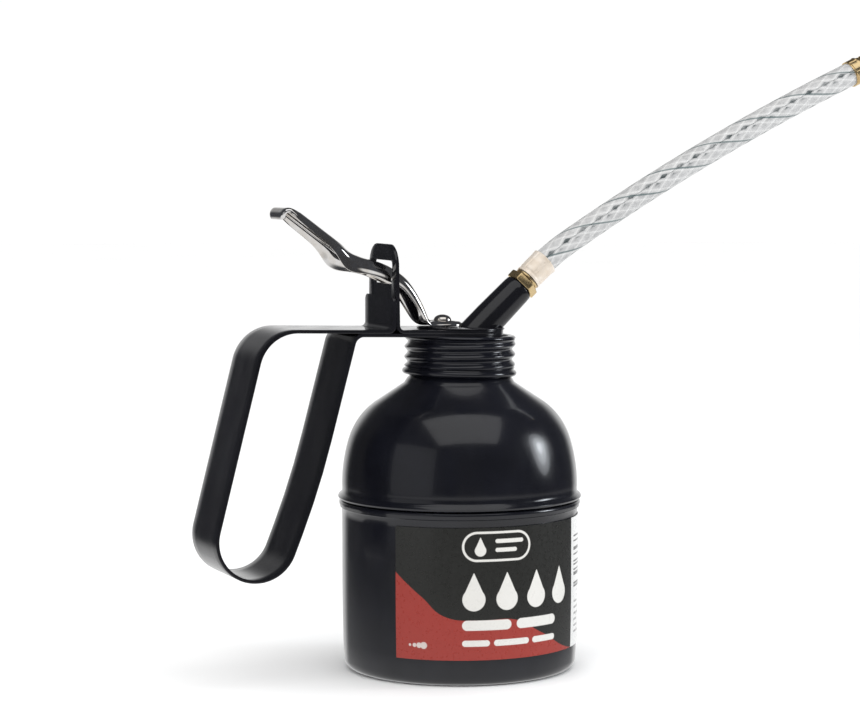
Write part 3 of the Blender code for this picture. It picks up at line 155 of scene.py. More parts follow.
class OilCanSizes(bpy.types.PropertyGroup):
    """Sizes of the visible pieces."""

    can_radius: length("Can radius", "Radius of the can's drawn wall", 0.0370)
    can_foot_radius: length("Foot radius", "Wall radius just above the can's foot", 0.03645)
    seam_height: length("Seam height", "Height of the seam between the two shells", 0.0532)
    seam_radius: length("Seam radius", "Outer radius of the seam's bead", 0.0382)
    thread_pitch: length("Thread pitch", "Rise of the cap's rolled thread in one turn", 0.0032)
    thread_depth: length("Thread depth", "Half the height of a thread ridge", 0.0005)
    cap_radius: length("Cap radius", "Middle radius of the cap's rolled thread", 0.0169)
    hose_radius: length("Hose radius", "Outer radius of the hose", 0.0039)
    braid_spacing: length("Braid spacing", "Distance between yarns along the hose", 0.0066)
    lever_plate: length("Lever plate", "Thickness of the lever's pressed plate", 0.0009)
    label_bottom: length("Label bottom", "Height of the label's lower edge", 0.0082)
    label_top: length("Label top", "Height of the label's upper edge", 0.0486)


class OilCanColours(bpy.types.PropertyGroup):
    """Colours of the finishes."""

    enamel: colour("Enamel", "Stove enamel of the can and cap", (0.0056, 0.0060, 0.0092))
    satin: colour("Satin paint", "Paint of the straps and the pump head", (0.0060, 0.0060, 0.0078))
    chrome: colour("Chrome", "Plating of the thumb lever", (0.80, 0.79, 0.78))
    steel: colour("Steel", "Bright steel of the small parts", (0.60, 0.59, 0.57))
    brass: colour("Brass", "Machined brass", (0.80, 0.61, 0.33))
    ferrule: colour("Ferrule", "Plated ferrule", (0.86, 0.78, 0.69))
    yarn: colour("Yarn", "White braid of the hose", (0.62, 0.62, 0.61))
    hose_wall: colour("Hose wall", "Clear hose wall over the braid", (0.46, 0.46, 0.46))
    # Painted shade: the dark colour of the hose's shaded bore, seen through the braid's gaps.
    painted_bore_shade: colour("Braid gap", "Open gaps of the braid", (0.060, 0.075, 0.078))
    tracer: colour("Tracer", "Coloured thread in the braid", (0.060, 0.100, 0.104))
    label_dark: colour("Label ground", "Dark ground of the label", (0.0130, 0.0132, 0.0115))
    label_red: colour("Label red", "Red foot of the label", (0.300, 0.029, 0.020))
    label_print: colour("Label print", "Light print on the label", (0.66, 0.65, 0.62))


# --------------------------------------------------------------- mesh helpers
def deselect_all():
    """Leave nothing selected."""
    if bpy.context.object is not None and bpy.context.object.mode != "OBJECT":
        bpy.ops.object.mode_set(mode="OBJECT")
    bpy.ops.object.select_all(action="DESELECT")


def pick(piece):
    """Select one piece and make it active."""
    deselect_all()
    piece.select_set(True)
    bpy.context.view_layer.objects.active = piece


def apply_place(piece, place=None):
    """Move a piece by a matrix and keep the move in its mesh."""
    pick(piece)
    if place is not None:
        piece.matrix_world = place @ piece.matrix_world
    bpy.ops.object.transform_apply(location=True, rotation=True, scale=True)


def apply_modifier(piece, kind, **settings):
    """Add a modifier with its settings and apply it."""
    pick(piece)
    step = piece.modifiers.new(kind.title(), kind)
    for key, value in settings.items():
        setattr(step, key, value)
    bpy.ops.object.modifier_apply(modifier=step.name)


def in_edit_mode(piece, *steps):
    """Run mesh operators on the whole of a piece."""
    pick(piece)
    bpy.ops.object.mode_set(mode="EDIT")
    bpy.ops.mesh.select_all(action="SELECT")
    for step in steps:
        step()
    bpy.ops.object.mode_set(mode="OBJECT")


def face_outwards(piece):
    """Merge doubles and turn every face outwards."""
    in_edit_mode(
        piece,
        lambda: bpy.ops.mesh.remove_doubles(threshold=0.000002),
        lambda: bpy.ops.mesh.normals_make_consistent(inside=False))


def finish_piece(piece, name, finish, body, nodes=(), crease=38.0):
    """Name a piece, give it its finish and let it ride on a body."""
    piece.name = name
    piece.data.name = name
    piece.data.materials.clear()
    piece.data.materials.append(finish)
    pick(piece)
    bpy.ops.object.shade_smooth_by_angle(angle=radians(crease))
    if body is not None:
        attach(piece, body)
    if nodes:
        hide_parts(*nodes)
    return piece


def grow_round(rows, segments=96, closed_ring=False):
    """Raise a round piece from a circle by extruding and scaling one ring at a time.

    A closed ring has a hole through it; any other piece is closed by its first
    and last rings.
    """
    deselect_all()
    radius, height = rows[0]
    fill = "NOTHING" if closed_ring else "NGON"
    bpy.ops.mesh.primitive_circle_add(
        vertices=segments, radius=radius, fill_type=fill, location=(0.0, 0.0, height))
    piece = bpy.context.object
    bpy.ops.object.transform_apply(location=True, rotation=False, scale=False)
    bpy.ops.object.mode_set(mode="EDIT")
    bpy.ops.mesh.select_all(action="SELECT")
    for (before, low), (after, high) in zip(rows, rows[1:]):
        rise = {"value": (0.0, 0.0, high - low)}
        if closed_ring:
            bpy.ops.mesh.extrude_edges_move(TRANSFORM_OT_translate=rise)
        else:
            bpy.ops.mesh.extrude_region_move(TRANSFORM_OT_translate=rise)
        share = after / before
        bpy.ops.transform.resize(value=(share, share, 1.0), center_override=(0.0, 0.0, high))
    if closed_ring:
        bpy.ops.mesh.select_all(action="DESELECT")
        bpy.ops.mesh.select_non_manifold()
        bpy.ops.mesh.bridge_edge_loops()
    bpy.ops.mesh.select_all(action="SELECT")
    bpy.ops.mesh.normals_make_consistent(inside=False)
    bpy.ops.object.mode_set(mode="OBJECT")
    return piece


def shape_grid(rows, wrapped=False):
    """Lay a grid through rows of points and return it as a sheet or a tube."""
    deselect_all()
    across = len(rows[0]) - 1
    bpy.ops.mesh.primitive_grid_add(x_subdivisions=across, y_subdivisions=len(rows) - 1, size=0.1)
    piece = bpy.context.object
    spots = [tuple(spot) for row in rows for spot in row]
    flat = [value for spot in spots for value in spot]
    piece.data.vertices.foreach_set("co", flat)
    uv_layer = piece.data.uv_layers.active.data
    for loop in piece.data.loops:
        row, column = divmod(loop.vertex_index, across + 1)
        uv_layer[loop.index].uv = (column / across, row / (len(rows) - 1))
    piece.data.update()
    if wrapped:
        in_edit_mode(piece, lambda: bpy.ops.mesh.remove_doubles(threshold=0.000002))
    return piece


def cut_away(piece, tool):
    """Cut a tool's shape out of a piece and remove the tool."""
    apply_modifier(piece, "BOOLEAN", operation="DIFFERENCE", object=tool, solver="EXACT")
    bpy.data.objects.remove(tool, do_unlink=True)


def join_on(piece, tool):
    """Join a tool's shape to a piece and remove the tool."""
    apply_modifier(piece, "BOOLEAN", operation="UNION", object=tool, solver="EXACT")
    bpy.data.objects.remove(tool, do_unlink=True)


def arc_points(centre, radius, start, end, steps):
    """Return points on an arc in a plane, both ends included."""
    points = []
    for step in range(steps + 1):
        angle = start + (end - start) * step / steps
        points.append((centre[0] + radius * cos(angle), centre[1] + radius * sin(angle)))
    return points


def press_thread(piece, pitch, depth, low, high, inner_limit, outward):
    """Press the rolled thread into every ring between two levels."""
    fade = 0.0012
    for vertex in piece.data.vertices:
        spot = vertex.co
        reach = sqrt(spot.x ** 2 + spot.y ** 2)
        if reach < inner_limit or not low <= spot.z <= high:
            continue
        share = min(1.0, (spot.z - low) / fade, (high - spot.z) / fade)
        wave = cos(2 * pi * spot.z / pitch - atan2(spot.y, spot.x))
        shift = depth * (share * wave + (1.0 if outward else -1.0) * (1.0 - share))
        scale = (reach + shift) / reach
        vertex.co = (spot.x * scale, spot.y * scale, spot.z)
    piece.data.update()


# ------------------------------------------------------------ material helpers
class Nodes:
    """A short way to write a material's nodes."""

    def __init__(self, name):
        self.material = bpy.data.materials.new(name)
        self.material.use_nodes = True
        self.tree = self.material.node_tree
        self.shader = self.tree.nodes["Principled BSDF"]

    def link(self, source, target):
        """Join an output to an input."""
        self.tree.links.new(source, target)

    def add(self, kind, **settings):
        """Add a node of a kind and give it its settings."""
        node = self.tree.nodes.new(kind)
        for key, value in settings.items():
            setattr(node, key, value)
        return node

    def coordinates(self, stretch=(1.0, 1.0, 1.0)):
        """Return object coordinates, stretched along the axes."""
        source = self.add("ShaderNodeTexCoord")
        mapping = self.add("ShaderNodeMapping")
        mapping.inputs["Scale"].default_value = stretch
        self.link(source.outputs["Object"], mapping.inputs["Vector"])
        return mapping.outputs["Vector"]

    def noise(self, vector, scale, detail=3.0, rough=0.5):
        """Return a noise pattern's factor."""
        node = self.add("ShaderNodeTexNoise")
        node.inputs["Scale"].default_value = scale
        node.inputs["Detail"].default_value = detail
        node.inputs["Roughness"].default_value = rough
        self.link(vector, node.inputs["Vector"])
        return node.outputs["Fac"]

    def remap(self, value, low, high, to_low, to_high):
        """Return a value mapped from one range to another, kept inside it."""
        node = self.add("ShaderNodeMapRange")
        for key, number in (("From Min", low), ("From Max", high), ("To Min", to_low), ("To Max", to_high)):
            node.inputs[key].default_value = number
        self.link(value, node.inputs["Value"])
        return node.outputs["Result"]

    def math(self, operation, first, second=None, third=None):
        """Return the result of a sum on sockets or numbers."""
        node = self.add("ShaderNodeMath", operation=operation)
        for slot, value in enumerate((first, second, third)):
            if value is None:
                continue
            if isinstance(value, (int, float)):
                node.inputs[slot].default_value = value
            else:
                self.link(value, node.inputs[slot])
        return node.outputs[0]

    def mix(self, factor, first, second):
        """Return a mix of two colours, each a socket or a linear colour."""
        node = self.add("ShaderNodeMix", data_type="RGBA")
        self.link(factor, node.inputs[0])
        for slot, value in ((6, first), (7, second)):
            if isinstance(value, (tuple, list)):
                node.inputs[slot].default_value = (*value[:3], 1.0)
            else:
                self.link(value, node.inputs[slot])
        return node.outputs[2]

    def bump(self, height, strength, distance):
        """Raise the surface by a height pattern."""
        node = self.add("ShaderNodeBump")
        node.inputs["Strength"].default_value = strength
        node.inputs["Distance"].default_value = distance
        self.link(height, node.inputs["Height"])
        self.link(node.outputs["Normal"], self.shader.inputs["Normal"])
        return node

    def set(self, **values):
        """Set constant sockets of the shader, named with underscores for spaces."""
        for key, value in values.items():
            self.shader.inputs[key.replace("_", " ")].default_value = value

    def between(self, value, low, high, soft):
        """Return 1 where a value lies between two limits, with soft edges."""
        rise = self.remap(value, low - soft, low + soft, 0.0, 1.0)
        fall = self.remap(value, high - soft, high + soft, 1.0, 0.0)
        return self.math("MULTIPLY", rise, fall)


def shade(base, factor):
    """Return a colour made lighter or darker."""
    return tuple(min(1.0, channel * factor) for channel in base)


def painted(name, base, roughness, coat, peel, speck):
    """Paint with orange peel, faint cloudiness, handling marks and dust specks."""
    nodes = Nodes(name)
    place = nodes.coordinates()
    cloud = nodes.noise(place, 55.0, 4.0, 0.55)
    tone = nodes.mix(nodes.remap(cloud, 0.35, 0.70, 0.0, 1.0), shade(base, 0.82), shade(base, 1.30))
    dust = nodes.remap(nodes.noise(place, 2600.0, 1.0, 0.4), speck, speck + 0.04, 0.0, 0.55)
    nodes.link(nodes.mix(dust, tone, shade(base, 6.0)), nodes.shader.inputs["Base Color"])
    rubbed = nodes.noise(nodes.coordinates((1.0, 1.0, 0.35)), 140.0, 5.0, 0.62)
    nodes.link(nodes.remap(rubbed, 0.35, 0.75, roughness * 0.75, roughness * 1.45),
               nodes.shader.inputs["Roughness"])
    nodes.bump(nodes.noise(place, 620.0, 2.0, 0.5), peel, 0.00006)
    nodes.set(Coat_Weight=coat, Coat_Roughness=0.04, IOR=1.5)
    return nodes.material


def metal(name, base, roughness, brush, tint=1.12, purity=1.0):
    """Metal with fine scratches, faint tarnish and uneven polish."""
    nodes = Nodes(name)
    place = nodes.coordinates()
    tarnish = nodes.noise(place, 190.0, 5.0, 0.6)
    warm = (base[0] * 0.86, base[1] * 0.80, base[2] * 0.72)
    tone = nodes.mix(nodes.remap(tarnish, 0.38, 0.72, 0.0, 1.0), shade(base, tint), warm)
    nodes.link(tone, nodes.shader.inputs["Base Color"])
    lines = nodes.noise(nodes.coordinates((1.0, 1.0, 9.0)), 900.0, 3.0, 0.6)
    polish = nodes.math("MULTIPLY", lines, nodes.remap(tarnish, 0.3, 0.8, 0.7, 1.5))
    nodes.link(nodes.remap(polish, 0.15, 0.85, roughness * 0.6, roughness * 1.7),
               nodes.shader.inputs["Roughness"])
    nodes.bump(lines, brush, 0.00002)
    nodes.set(Metallic=purity)
    return nodes.material


def soft_finish(name, base, roughness, grain):
    """Rubber or leather with a fine grain."""
    nodes = Nodes(name)
    place = nodes.coordinates()
    cloud = nodes.noise(place, 260.0, 4.0, 0.6)
    tone = nodes.mix(nodes.remap(cloud, 0.3, 0.7, 0.0, 1.0), shade(base, 0.7), shade(base, 1.5))
    nodes.link(tone, nodes.shader.inputs["Base Color"])
    nodes.link(nodes.remap(cloud, 0.3, 0.7, roughness * 0.85, min(1.0, roughness * 1.15)),
               nodes.shader.inputs["Roughness"])
    nodes.bump(nodes.noise(place, grain, 4.0, 0.6), 0.4, 0.0001)
    return nodes.material


def braided(name, colours, turns):
    """Clear hose wall over a braid of white yarns, with gaps painted dark as the shaded bore seen through
    them, and tracer threads.

    The piece's UV map runs once around the hose and once along it.
    """
    nodes = Nodes(name)
    source = nodes.add("ShaderNodeUVMap")
    split = nodes.add("ShaderNodeSeparateXYZ")
    nodes.link(source.outputs["UV"], split.inputs["Vector"])
    around, along = split.outputs["X"], split.outputs["Y"]
    wander = nodes.math("MULTIPLY", nodes.noise(nodes.coordinates(), 230.0, 2.0, 0.5), 0.16)
    yarns = 8.0
    offsets = []
    threads = []
    for way in (1.0, -1.0):
        climb = nodes.math("MULTIPLY_ADD", along, way * turns, wander)
        phase = nodes.math("MULTIPLY_ADD", around, yarns, climb)
        part = nodes.math("FRACT", nodes.math("ADD", phase, 0.5))
        offset = nodes.math("ABSOLUTE", nodes.math("SUBTRACT", part, 0.5))
        offsets.append(offset)
        threads.append(nodes.remap(offset, 0.04, 0.13, 1.0, 0.0))
    cross = nodes.math("MAXIMUM", threads[0], threads[1])
    doubled = nodes.math("MULTIPLY", threads[0], threads[1])
    open_gap = nodes.math("MINIMUM", offsets[0], offsets[1])
    gap = nodes.remap(open_gap, 0.20, 0.29, 0.0, 1.0)
    # Painted shade: the gaps are darkened as the shaded bore seen through them, strongest in four rows round
    # the hose, one of which faces the camera; noise makes this painted shade uneven.
    facing = nodes.math("COSINE", nodes.math("MULTIPLY_ADD", around, 4 * 2 * pi, 0.0))
    row = nodes.remap(facing, 0.25, 0.75, 0.14, 1.0)
    uneven = nodes.remap(nodes.noise(nodes.coordinates(), 330.0, 3.0, 0.6), 0.34, 0.62, 0.35, 1.0)
    depth = nodes.math("MULTIPLY", nodes.math("MULTIPLY", gap, row), uneven)
    haze = nodes.noise(nodes.coordinates(), 520.0, 4.0, 0.6)
    wall = nodes.mix(nodes.remap(haze, 0.35, 0.7, 0.0, 1.0), shade(colours.hose_wall, 0.86),
                     shade(colours.hose_wall, 1.14))
    woven = nodes.mix(nodes.math("MULTIPLY", cross, 0.55), wall, tuple(colours.yarn))
    woven = nodes.mix(nodes.math("MULTIPLY", doubled, 0.35), woven, (0.82, 0.83, 0.83))
    woven = nodes.mix(depth, woven, tuple(colours.painted_bore_shade))
    wind = nodes.math("MULTIPLY_ADD", along, -turns / yarns, around)
    tracer_part = nodes.math("FRACT", nodes.math("MULTIPLY", wind, 3.0))
    tracer_line = nodes.math("ABSOLUTE", nodes.math("SUBTRACT", tracer_part, 0.5))
    tracer = nodes.remap(tracer_line, 0.016, 0.055, 0.80, 0.0)
    nodes.link(nodes.mix(tracer, woven, tuple(colours.tracer)), nodes.shader.inputs["Base Color"])
    nodes.link(nodes.remap(haze, 0.3, 0.7, 0.28, 0.45), nodes.shader.inputs["Roughness"])
    nodes.bump(cross, 0.25, 0.0001)
    nodes.set(Coat_Weight=0.5, Coat_Roughness=0.10, IOR=1.45)
    return nodes.material


def printed(name, colours, width, height, dark_width):
    """Varnished label: dark ground, red foot, a row of oil drops and plain bars.

    The piece's UV map is scaled to millimetres: x runs round the can from the
    label's left edge and y runs up from its lower edge.
    """
    nodes = Nodes(name)
    source = nodes.add("ShaderNodeUVMap")
    split = nodes.add("ShaderNodeSeparateXYZ")
    nodes.link(source.outputs["UV"], split.inputs["Vector"])
    x = nodes.math("MULTIPLY", split.outputs["X"], width)
    y = nodes.math("MULTIPLY", split.outputs["Y"], height)
    edge = 0.10

    def box(left, right, low, high):
        """Return a rectangle's mask."""
        return nodes.math("MULTIPLY", nodes.between(x, left, right, edge), nodes.between(y, low, high, edge))

    def bar(left, right, middle, half):
        """Return the mask of a bar with round ends."""
        held = nodes.math("MINIMUM", nodes.math("MAXIMUM", x, left + half), right - half)
        across = nodes.math("SUBTRACT", x, held)
        rise = nodes.math("SUBTRACT", y, middle)
        across_squared = nodes.math("MULTIPLY", across, across)
        square = nodes.math("ADD", across_squared, nodes.math("MULTIPLY", rise, rise))
        return nodes.remap(nodes.math("SQRT", square), half - edge, half + edge, 1.0, 0.0)

    def drop(across, middle, size):
        """Return the mask of an oil drop whose round part has a given radius."""
        rise = nodes.math("SUBTRACT", y, middle)
        across_squared = nodes.math("MULTIPLY", across, across)
        square = nodes.math("ADD", across_squared, nodes.math("MULTIPLY", rise, rise))
        ball = nodes.remap(nodes.math("SQRT", square), size - edge, size + edge, 1.0, 0.0)
        taper = nodes.remap(rise, size * 0.30, size * 2.35, size * 0.92, 0.0)
        side = nodes.math("SUBTRACT", taper, nodes.math("ABSOLUTE", across))
        tip = nodes.math("MULTIPLY", nodes.remap(side, -edge, edge, 0.0, 1.0),
                         nodes.between(rise, size * 0.30, size * 2.3, edge))
        return nodes.math("MAXIMUM", ball, tip)

    def union(*masks):
        """Return the union of masks."""
        whole = masks[0]
        for mask in masks[1:]:
            whole = nodes.math("MAXIMUM", whole, mask)
        return whole

    foot = nodes.add("ShaderNodeFloatCurve")
    curve = foot.mapping.curves[0]
    stations = ((0.0, 26.4), (8.7, 19.2), (17.2, 12.9), (26.4, 12.2), (37.0, 12.1), (47.3, 7.2), (63.3, 0.2))
    curve.points[0].location = (0.0, stations[0][1] / height)
    curve.points[1].location = (1.0, 0.0)
    for station, level in stations[1:]:
        curve.points.new(station / width, level / height)
    foot.mapping.update()
    nodes.link(split.outputs["X"], foot.inputs["Value"])
    boundary = nodes.math("MULTIPLY", foot.outputs["Value"], height)
    red = nodes.remap(nodes.math("SUBTRACT", boundary, y), -edge, edge, 0.0, 1.0)
    grain = nodes.noise(nodes.coordinates(), 900.0, 3.0, 0.6)
    dark = nodes.mix(grain, shade(colours.label_dark, 0.85), shade(colours.label_dark, 1.2))
    red_tone = nodes.mix(grain, shade(colours.label_red, 0.9), shade(colours.label_red, 1.1))
    ground = nodes.mix(red, dark, red_tone)

    column = nodes.math("SUBTRACT", nodes.math("MODULO", nodes.math("SUBTRACT", x, 21.0), 10.4), 3.6)
    drops = nodes.math("MULTIPLY", drop(column, 18.6, 3.5), nodes.between(x, 20.6, 60.6, edge))
    panel = bar(21.0, 43.0, 34.7, 4.6)
    hole = bar(21.7, 42.3, 34.7, 3.9)
    rim = nodes.math("SUBTRACT", panel, hole)
    badge_drop = drop(nodes.math("SUBTRACT", x, 26.6), 33.5, 1.75)
    badge_bars = union(bar(31.2, 40.4, 36.3, 0.62), bar(31.2, 38.2, 33.6, 0.62))
    lines = union(bar(21.0, 36.4, 10.7, 1.55), bar(38.2, 53.6, 10.7, 1.55),
                  bar(21.0, 29.5, 5.2, 0.95), bar(30.8, 42.6, 5.2, 0.95), bar(43.9, 53.4, 5.2, 0.95))
    gauge = union(*[bar(4.4 + 1.7 * step, 5.2 + 1.7 * step, 4.4, 0.4 + 0.22 * step) for step in range(4)])
    print_mask = union(drops, rim, badge_drop, badge_bars, lines)
    ground = nodes.mix(nodes.math("MULTIPLY", gauge, 0.75), ground, tuple(colours.label_print))
    ground = nodes.mix(print_mask, ground, tuple(colours.label_print))

    stripe_noise = nodes.add("ShaderNodeTexWhiteNoise", noise_dimensions="1D")
    nodes.link(nodes.math("FLOOR", nodes.math("MULTIPLY", y, 1.9)), stripe_noise.inputs["W"])
    stripe = nodes.remap(stripe_noise.outputs["Value"], 0.50, 0.54, 0.0, 0.88)
    stripes = nodes.math("MULTIPLY", stripe, box(dark_width + 2.2, dark_width + 9.5, 18.0, 36.5))
    notes = union(*[bar(dark_width + 2.6, dark_width + 8.6 - (step % 3), 4.4 + 1.9 * step, 0.35)
                    for step in range(6)])
    strip = nodes.mix(union(stripes, nodes.math("MULTIPLY", notes, 0.6)), (0.74, 0.74, 0.73),
                      (0.030, 0.030, 0.032))
    on_strip = nodes.remap(x, dark_width - edge, dark_width + edge, 0.0, 1.0)
    nodes.link(nodes.mix(on_strip, ground, strip), nodes.shader.inputs["Base Color"])
    nodes.link(nodes.remap(grain, 0.3, 0.7, 0.24, 0.38), nodes.shader.inputs["Roughness"])
    nodes.bump(grain, 0.10, 0.00003)
    nodes.set(Coat_Weight=0.35, Coat_Roughness=0.12)
    return nodes.material


FINISHES = {}


def make_finishes(sizes, colours):
    """Make every finish once and keep it by name."""
    FINISHES["enamel"] = painted("stove_enamel", colours.enamel, 0.19, 0.30, 0.08, 0.80)
    FINISHES["satin"] = painted("satin_paint", colours.satin, 0.14, 0.05, 0.08, 0.78)
    FINISHES["chrome"] = metal("chrome_plate", colours.chrome, 0.065, 0.04)
    FINISHES["steel"] = metal("bright_steel", colours.steel, 0.24, 0.15)
    FINISHES["brass"] = metal("machined_brass", colours.brass, 0.24, 0.20)
    FINISHES["ferrule"] = metal("ferrule_plate", colours.ferrule, 0.38, 0.15, 1.05, 0.45)
    FINISHES["rubber"] = soft_finish("seal_rubber", (0.020, 0.020, 0.020), 0.65, 1500.0)
    FINISHES["leather"] = soft_finish("cup_leather", (0.20, 0.11, 0.05), 0.70, 1100.0)
    FINISHES["hose"] = braided("braided_hose", colours, HOSE_LENGTH / sizes.braid_spacing)


# ------------------------------------------------------------- shared routes
def wall_radius(sizes, height):
    """Return the radius of the can's drawn lower wall at a height."""
    share = min(1.0, max(0.0, (0.030 - height) / 0.030))
    return sizes.can_radius - (sizes.can_radius - sizes.can_foot_radius) * share ** 2


def rounded_path(corners, arc_steps):
    """Return a path through (x, z, radius) corners, each rounded by its radius."""
    points = [Vector(corners[0][:2])]
    for before, corner, after in zip(corners, corners[1:], corners[2:]):
        here = Vector(corner[:2])
        incoming = (here - Vector(before[:2])).normalized()
        outgoing = (Vector(after[:2]) - here).normalized()
        turn = incoming.angle_signed(outgoing)
        start = here - incoming * corner[2] * tan(abs(turn) / 2)
        side = -1.0 if turn > 0 else 1.0
        centre = start + Vector((-incoming.y, incoming.x)) * side * corner[2]
        steps = max(3, round(arc_steps * abs(turn) / pi) * 2)
        for step in range(steps + 1):
            spin = Matrix.Rotation(-turn * step / steps, 2)
            points.append(centre + spin @ (start - centre))
    points.append(Vector(corners[-1][:2]))
    return points


def disc_route(height):
    """Return (x, z, half width) stations over a strap's round end."""
    waist = atan2(STRAP_WIDTH / 2, -sqrt(DISC_RADIUS ** 2 - (STRAP_WIDTH / 2) ** 2))
    stations = []
    for step in range(25):
        angle = waist + (radians(1.5) - waist) * step / 24
        x = DISC_RADIUS * cos(angle)
        stations.append((x, height - x * tan(HEAD_LEAN), max(DISC_RADIUS * sin(angle), 0.0004)))
    return stations


def round_corner(distance, full, radius):
    """Return the half width near a round-cornered end, a distance from its tip."""
    if distance >= radius:
        return full
    return full - radius + sqrt(max(0.0, radius ** 2 - (radius - distance) ** 2))


def hose_angle(distance):
    """Return the hose's slope at a distance along it."""
    if distance < HOSE_CRIMP_BEND:
        share = max(0.0, distance) / HOSE_CRIMP_BEND
        ease = share * share * (3 - 2 * share)
        return SOCKET_TILT + (HOSE_ANGLE_AFTER_CRIMP - SOCKET_TILT) * ease
    share = (distance - HOSE_CRIMP_BEND) / (HOSE_LENGTH - HOSE_CRIMP_BEND)
    return HOSE_ANGLE_AFTER_CRIMP + (HOSE_ANGLE_AT_TIP - HOSE_ANGLE_AFTER_CRIMP) * share


def hose_places(distances):
    """Return the placement of the hose's axis at each distance along it."""
    start = SEAT_GAP + HEX_LENGTH + SEAT_GAP + WASHER_THICKNESS + SEAT_GAP
    spot = SOCKET_END + SOCKET_AXIS * start
    places = []
    reached = 0.0
    for distance in distances:
        steps = max(1, round(abs(distance - reached) / 0.0005))
        stride = (distance - reached) / steps
        for step in range(steps):
            angle = hose_angle(reached + (step + 0.5) * stride)
            spot = spot + Vector((cos(angle), 0.0, sin(angle))) * stride
        reached = distance
        turn = Matrix.Rotation(pi / 2 - hose_angle(distance), 4, "Y")
        places.append(Matrix.Translation(spot) @ turn)
    return places


def spout_place(distance):
    """Return the placement of the socket's axis, measured from its mouth."""
    turn = Matrix.Rotation(pi / 2 - SOCKET_TILT, 4, "Y")
    return Matrix.Translation(SOCKET_END + SOCKET_AXIS * distance) @ turn


# -------------------------------------------------------------------- pieces
class OILCAN_OT_finishes(bpy.types.Operator):
    """Make every finish and give the hidden inner parts theirs"""

    bl_idname = "oilcan.finishes"
    bl_label = "Finishes"

    def execute(self, context):
        """Make the finishes."""
        make_finishes(context.scene.oil_can_sizes, context.scene.oil_can_colours)
        slots = {entry["node"]: entry["material_slot"] for entry in frame["record"]["subparts"]}
        chosen = {
            "navy_black_enamel": "enamel", "black_satin_paint": "satin", "chrome_plate": "chrome",
            "bright_steel": "steel", "brass": "brass", "plated_ferrule": "ferrule",
            "clear_braided_hose": "ferrule", "black_rubber": "rubber", "brown_leather": "leather",
            "label_paper": "satin",
        }
        for name, node in frame["nodes"].items():
            node.data.materials.clear()
            node.data.materials.append(FINISHES[chosen[slots[name]]])
        return {"FINISHED"}


class OILCAN_OT_can(bpy.types.Operator):
    """Model the lower shell and the domed upper shell of the can"""

    bl_idname = "oilcan.can"
    bl_label = "Can"

    def execute(self, context):
        """Model both shells."""
        sizes = context.scene.oil_can_sizes
        seam = sizes.seam_height
        lip = sizes.seam_radius
        wall = 0.0006
        foot = arc_points((0.03345, 0.0030), 0.0030, radians(-84), 0.0, 9)
        rows = [(0.0316, 0.0009), (0.0324, 0.0008), (0.0329, 0.0003), (0.0333, 0.00003)]
        rows += foot
        rows += [(wall_radius(sizes, 0.003 * step), 0.003 * step) for step in range(2, 17)]
        rows += [(0.03702, seam - 0.0026), (0.03725, seam - 0.0023), (0.03765, seam - 0.00215),
                 (lip - 0.0005, seam - 0.0017), (lip - 0.0003, seam - 0.0011),
                 (lip - 0.00035, seam - 0.0006),
                 (lip - 0.0006, seam - 0.00025)]
        rows += [(0.0372, seam - 0.00012), (0.0364, seam - 0.00012), (0.0364, 0.030), (0.0358, 0.0080)]
        rows += [(0.0355, 0.0040), (0.0345, 0.0019), (0.0330, 0.0015)]
        lower = grow_round(rows, 144)
        finish_piece(lower, "can_lower_shell", FINISHES["enamel"], "can", ("can_base",))

        start = seam + 0.0043
        centre = (sizes.can_radius - 0.050, start)
        knee = (centre[0] + 0.028 * cos(radians(17)), centre[1] + 0.028 * sin(radians(17)))
        neck = [(0.01735, 0.08965), (0.01690, 0.0904), (0.01655, 0.0910), (0.0158, 0.0918)]
        thread_low, thread_high = CAP_LOW.z + 0.0014, UPPER_HIGH.z - 0.0004
        pitch_rows = 44
        depth = sizes.thread_depth * 0.5
        middle = sizes.cap_radius - 0.0005 - sizes.thread_depth - 0.0003 - depth
        rows = [(0.0372, seam + 0.00012), (lip - 0.0005, seam + 0.00025), (lip - 0.0001, seam + 0.0006),
                (lip + 0.00005, seam + 0.0010), (lip - 0.0002, seam + 0.0015), (0.03755, seam + 0.0019),
                (0.03712, seam + 0.0023), (0.03698, seam + 0.0029), (0.03692, start - 0.0006)]
        rows += arc_points(centre, 0.050, 0.0, radians(17), 9)
        rows += arc_points(knee, 0.022, radians(17), radians(54), 14)[1:]
        rows += neck
        rows += [(middle, thread_low + (thread_high - thread_low) * step / pitch_rows)
                 for step in range(pitch_rows + 1)]
        rows += [(middle - 0.0006, UPPER_HIGH.z - 0.0001), (middle - 0.0009, UPPER_HIGH.z)]
        rows += [(0.0146, UPPER_HIGH.z), (0.0146, 0.0925), (0.0162, 0.0895)]
        rows += arc_points(knee, 0.022 - wall, radians(54), radians(17), 6)
        rows += arc_points(centre, 0.050 - wall, radians(17), 0.0, 4)[1:]
        rows += [(0.0364, seam + 0.00012)]
        upper = grow_round(rows, 144, closed_ring=True)
        press_thread(upper, sizes.thread_pitch, depth, thread_low, thread_high, 0.0150, False)
        finish_piece(upper, "can_upper_shell", FINISHES["enamel"], "can", ("can_top",))
        return {"FINISHED"}


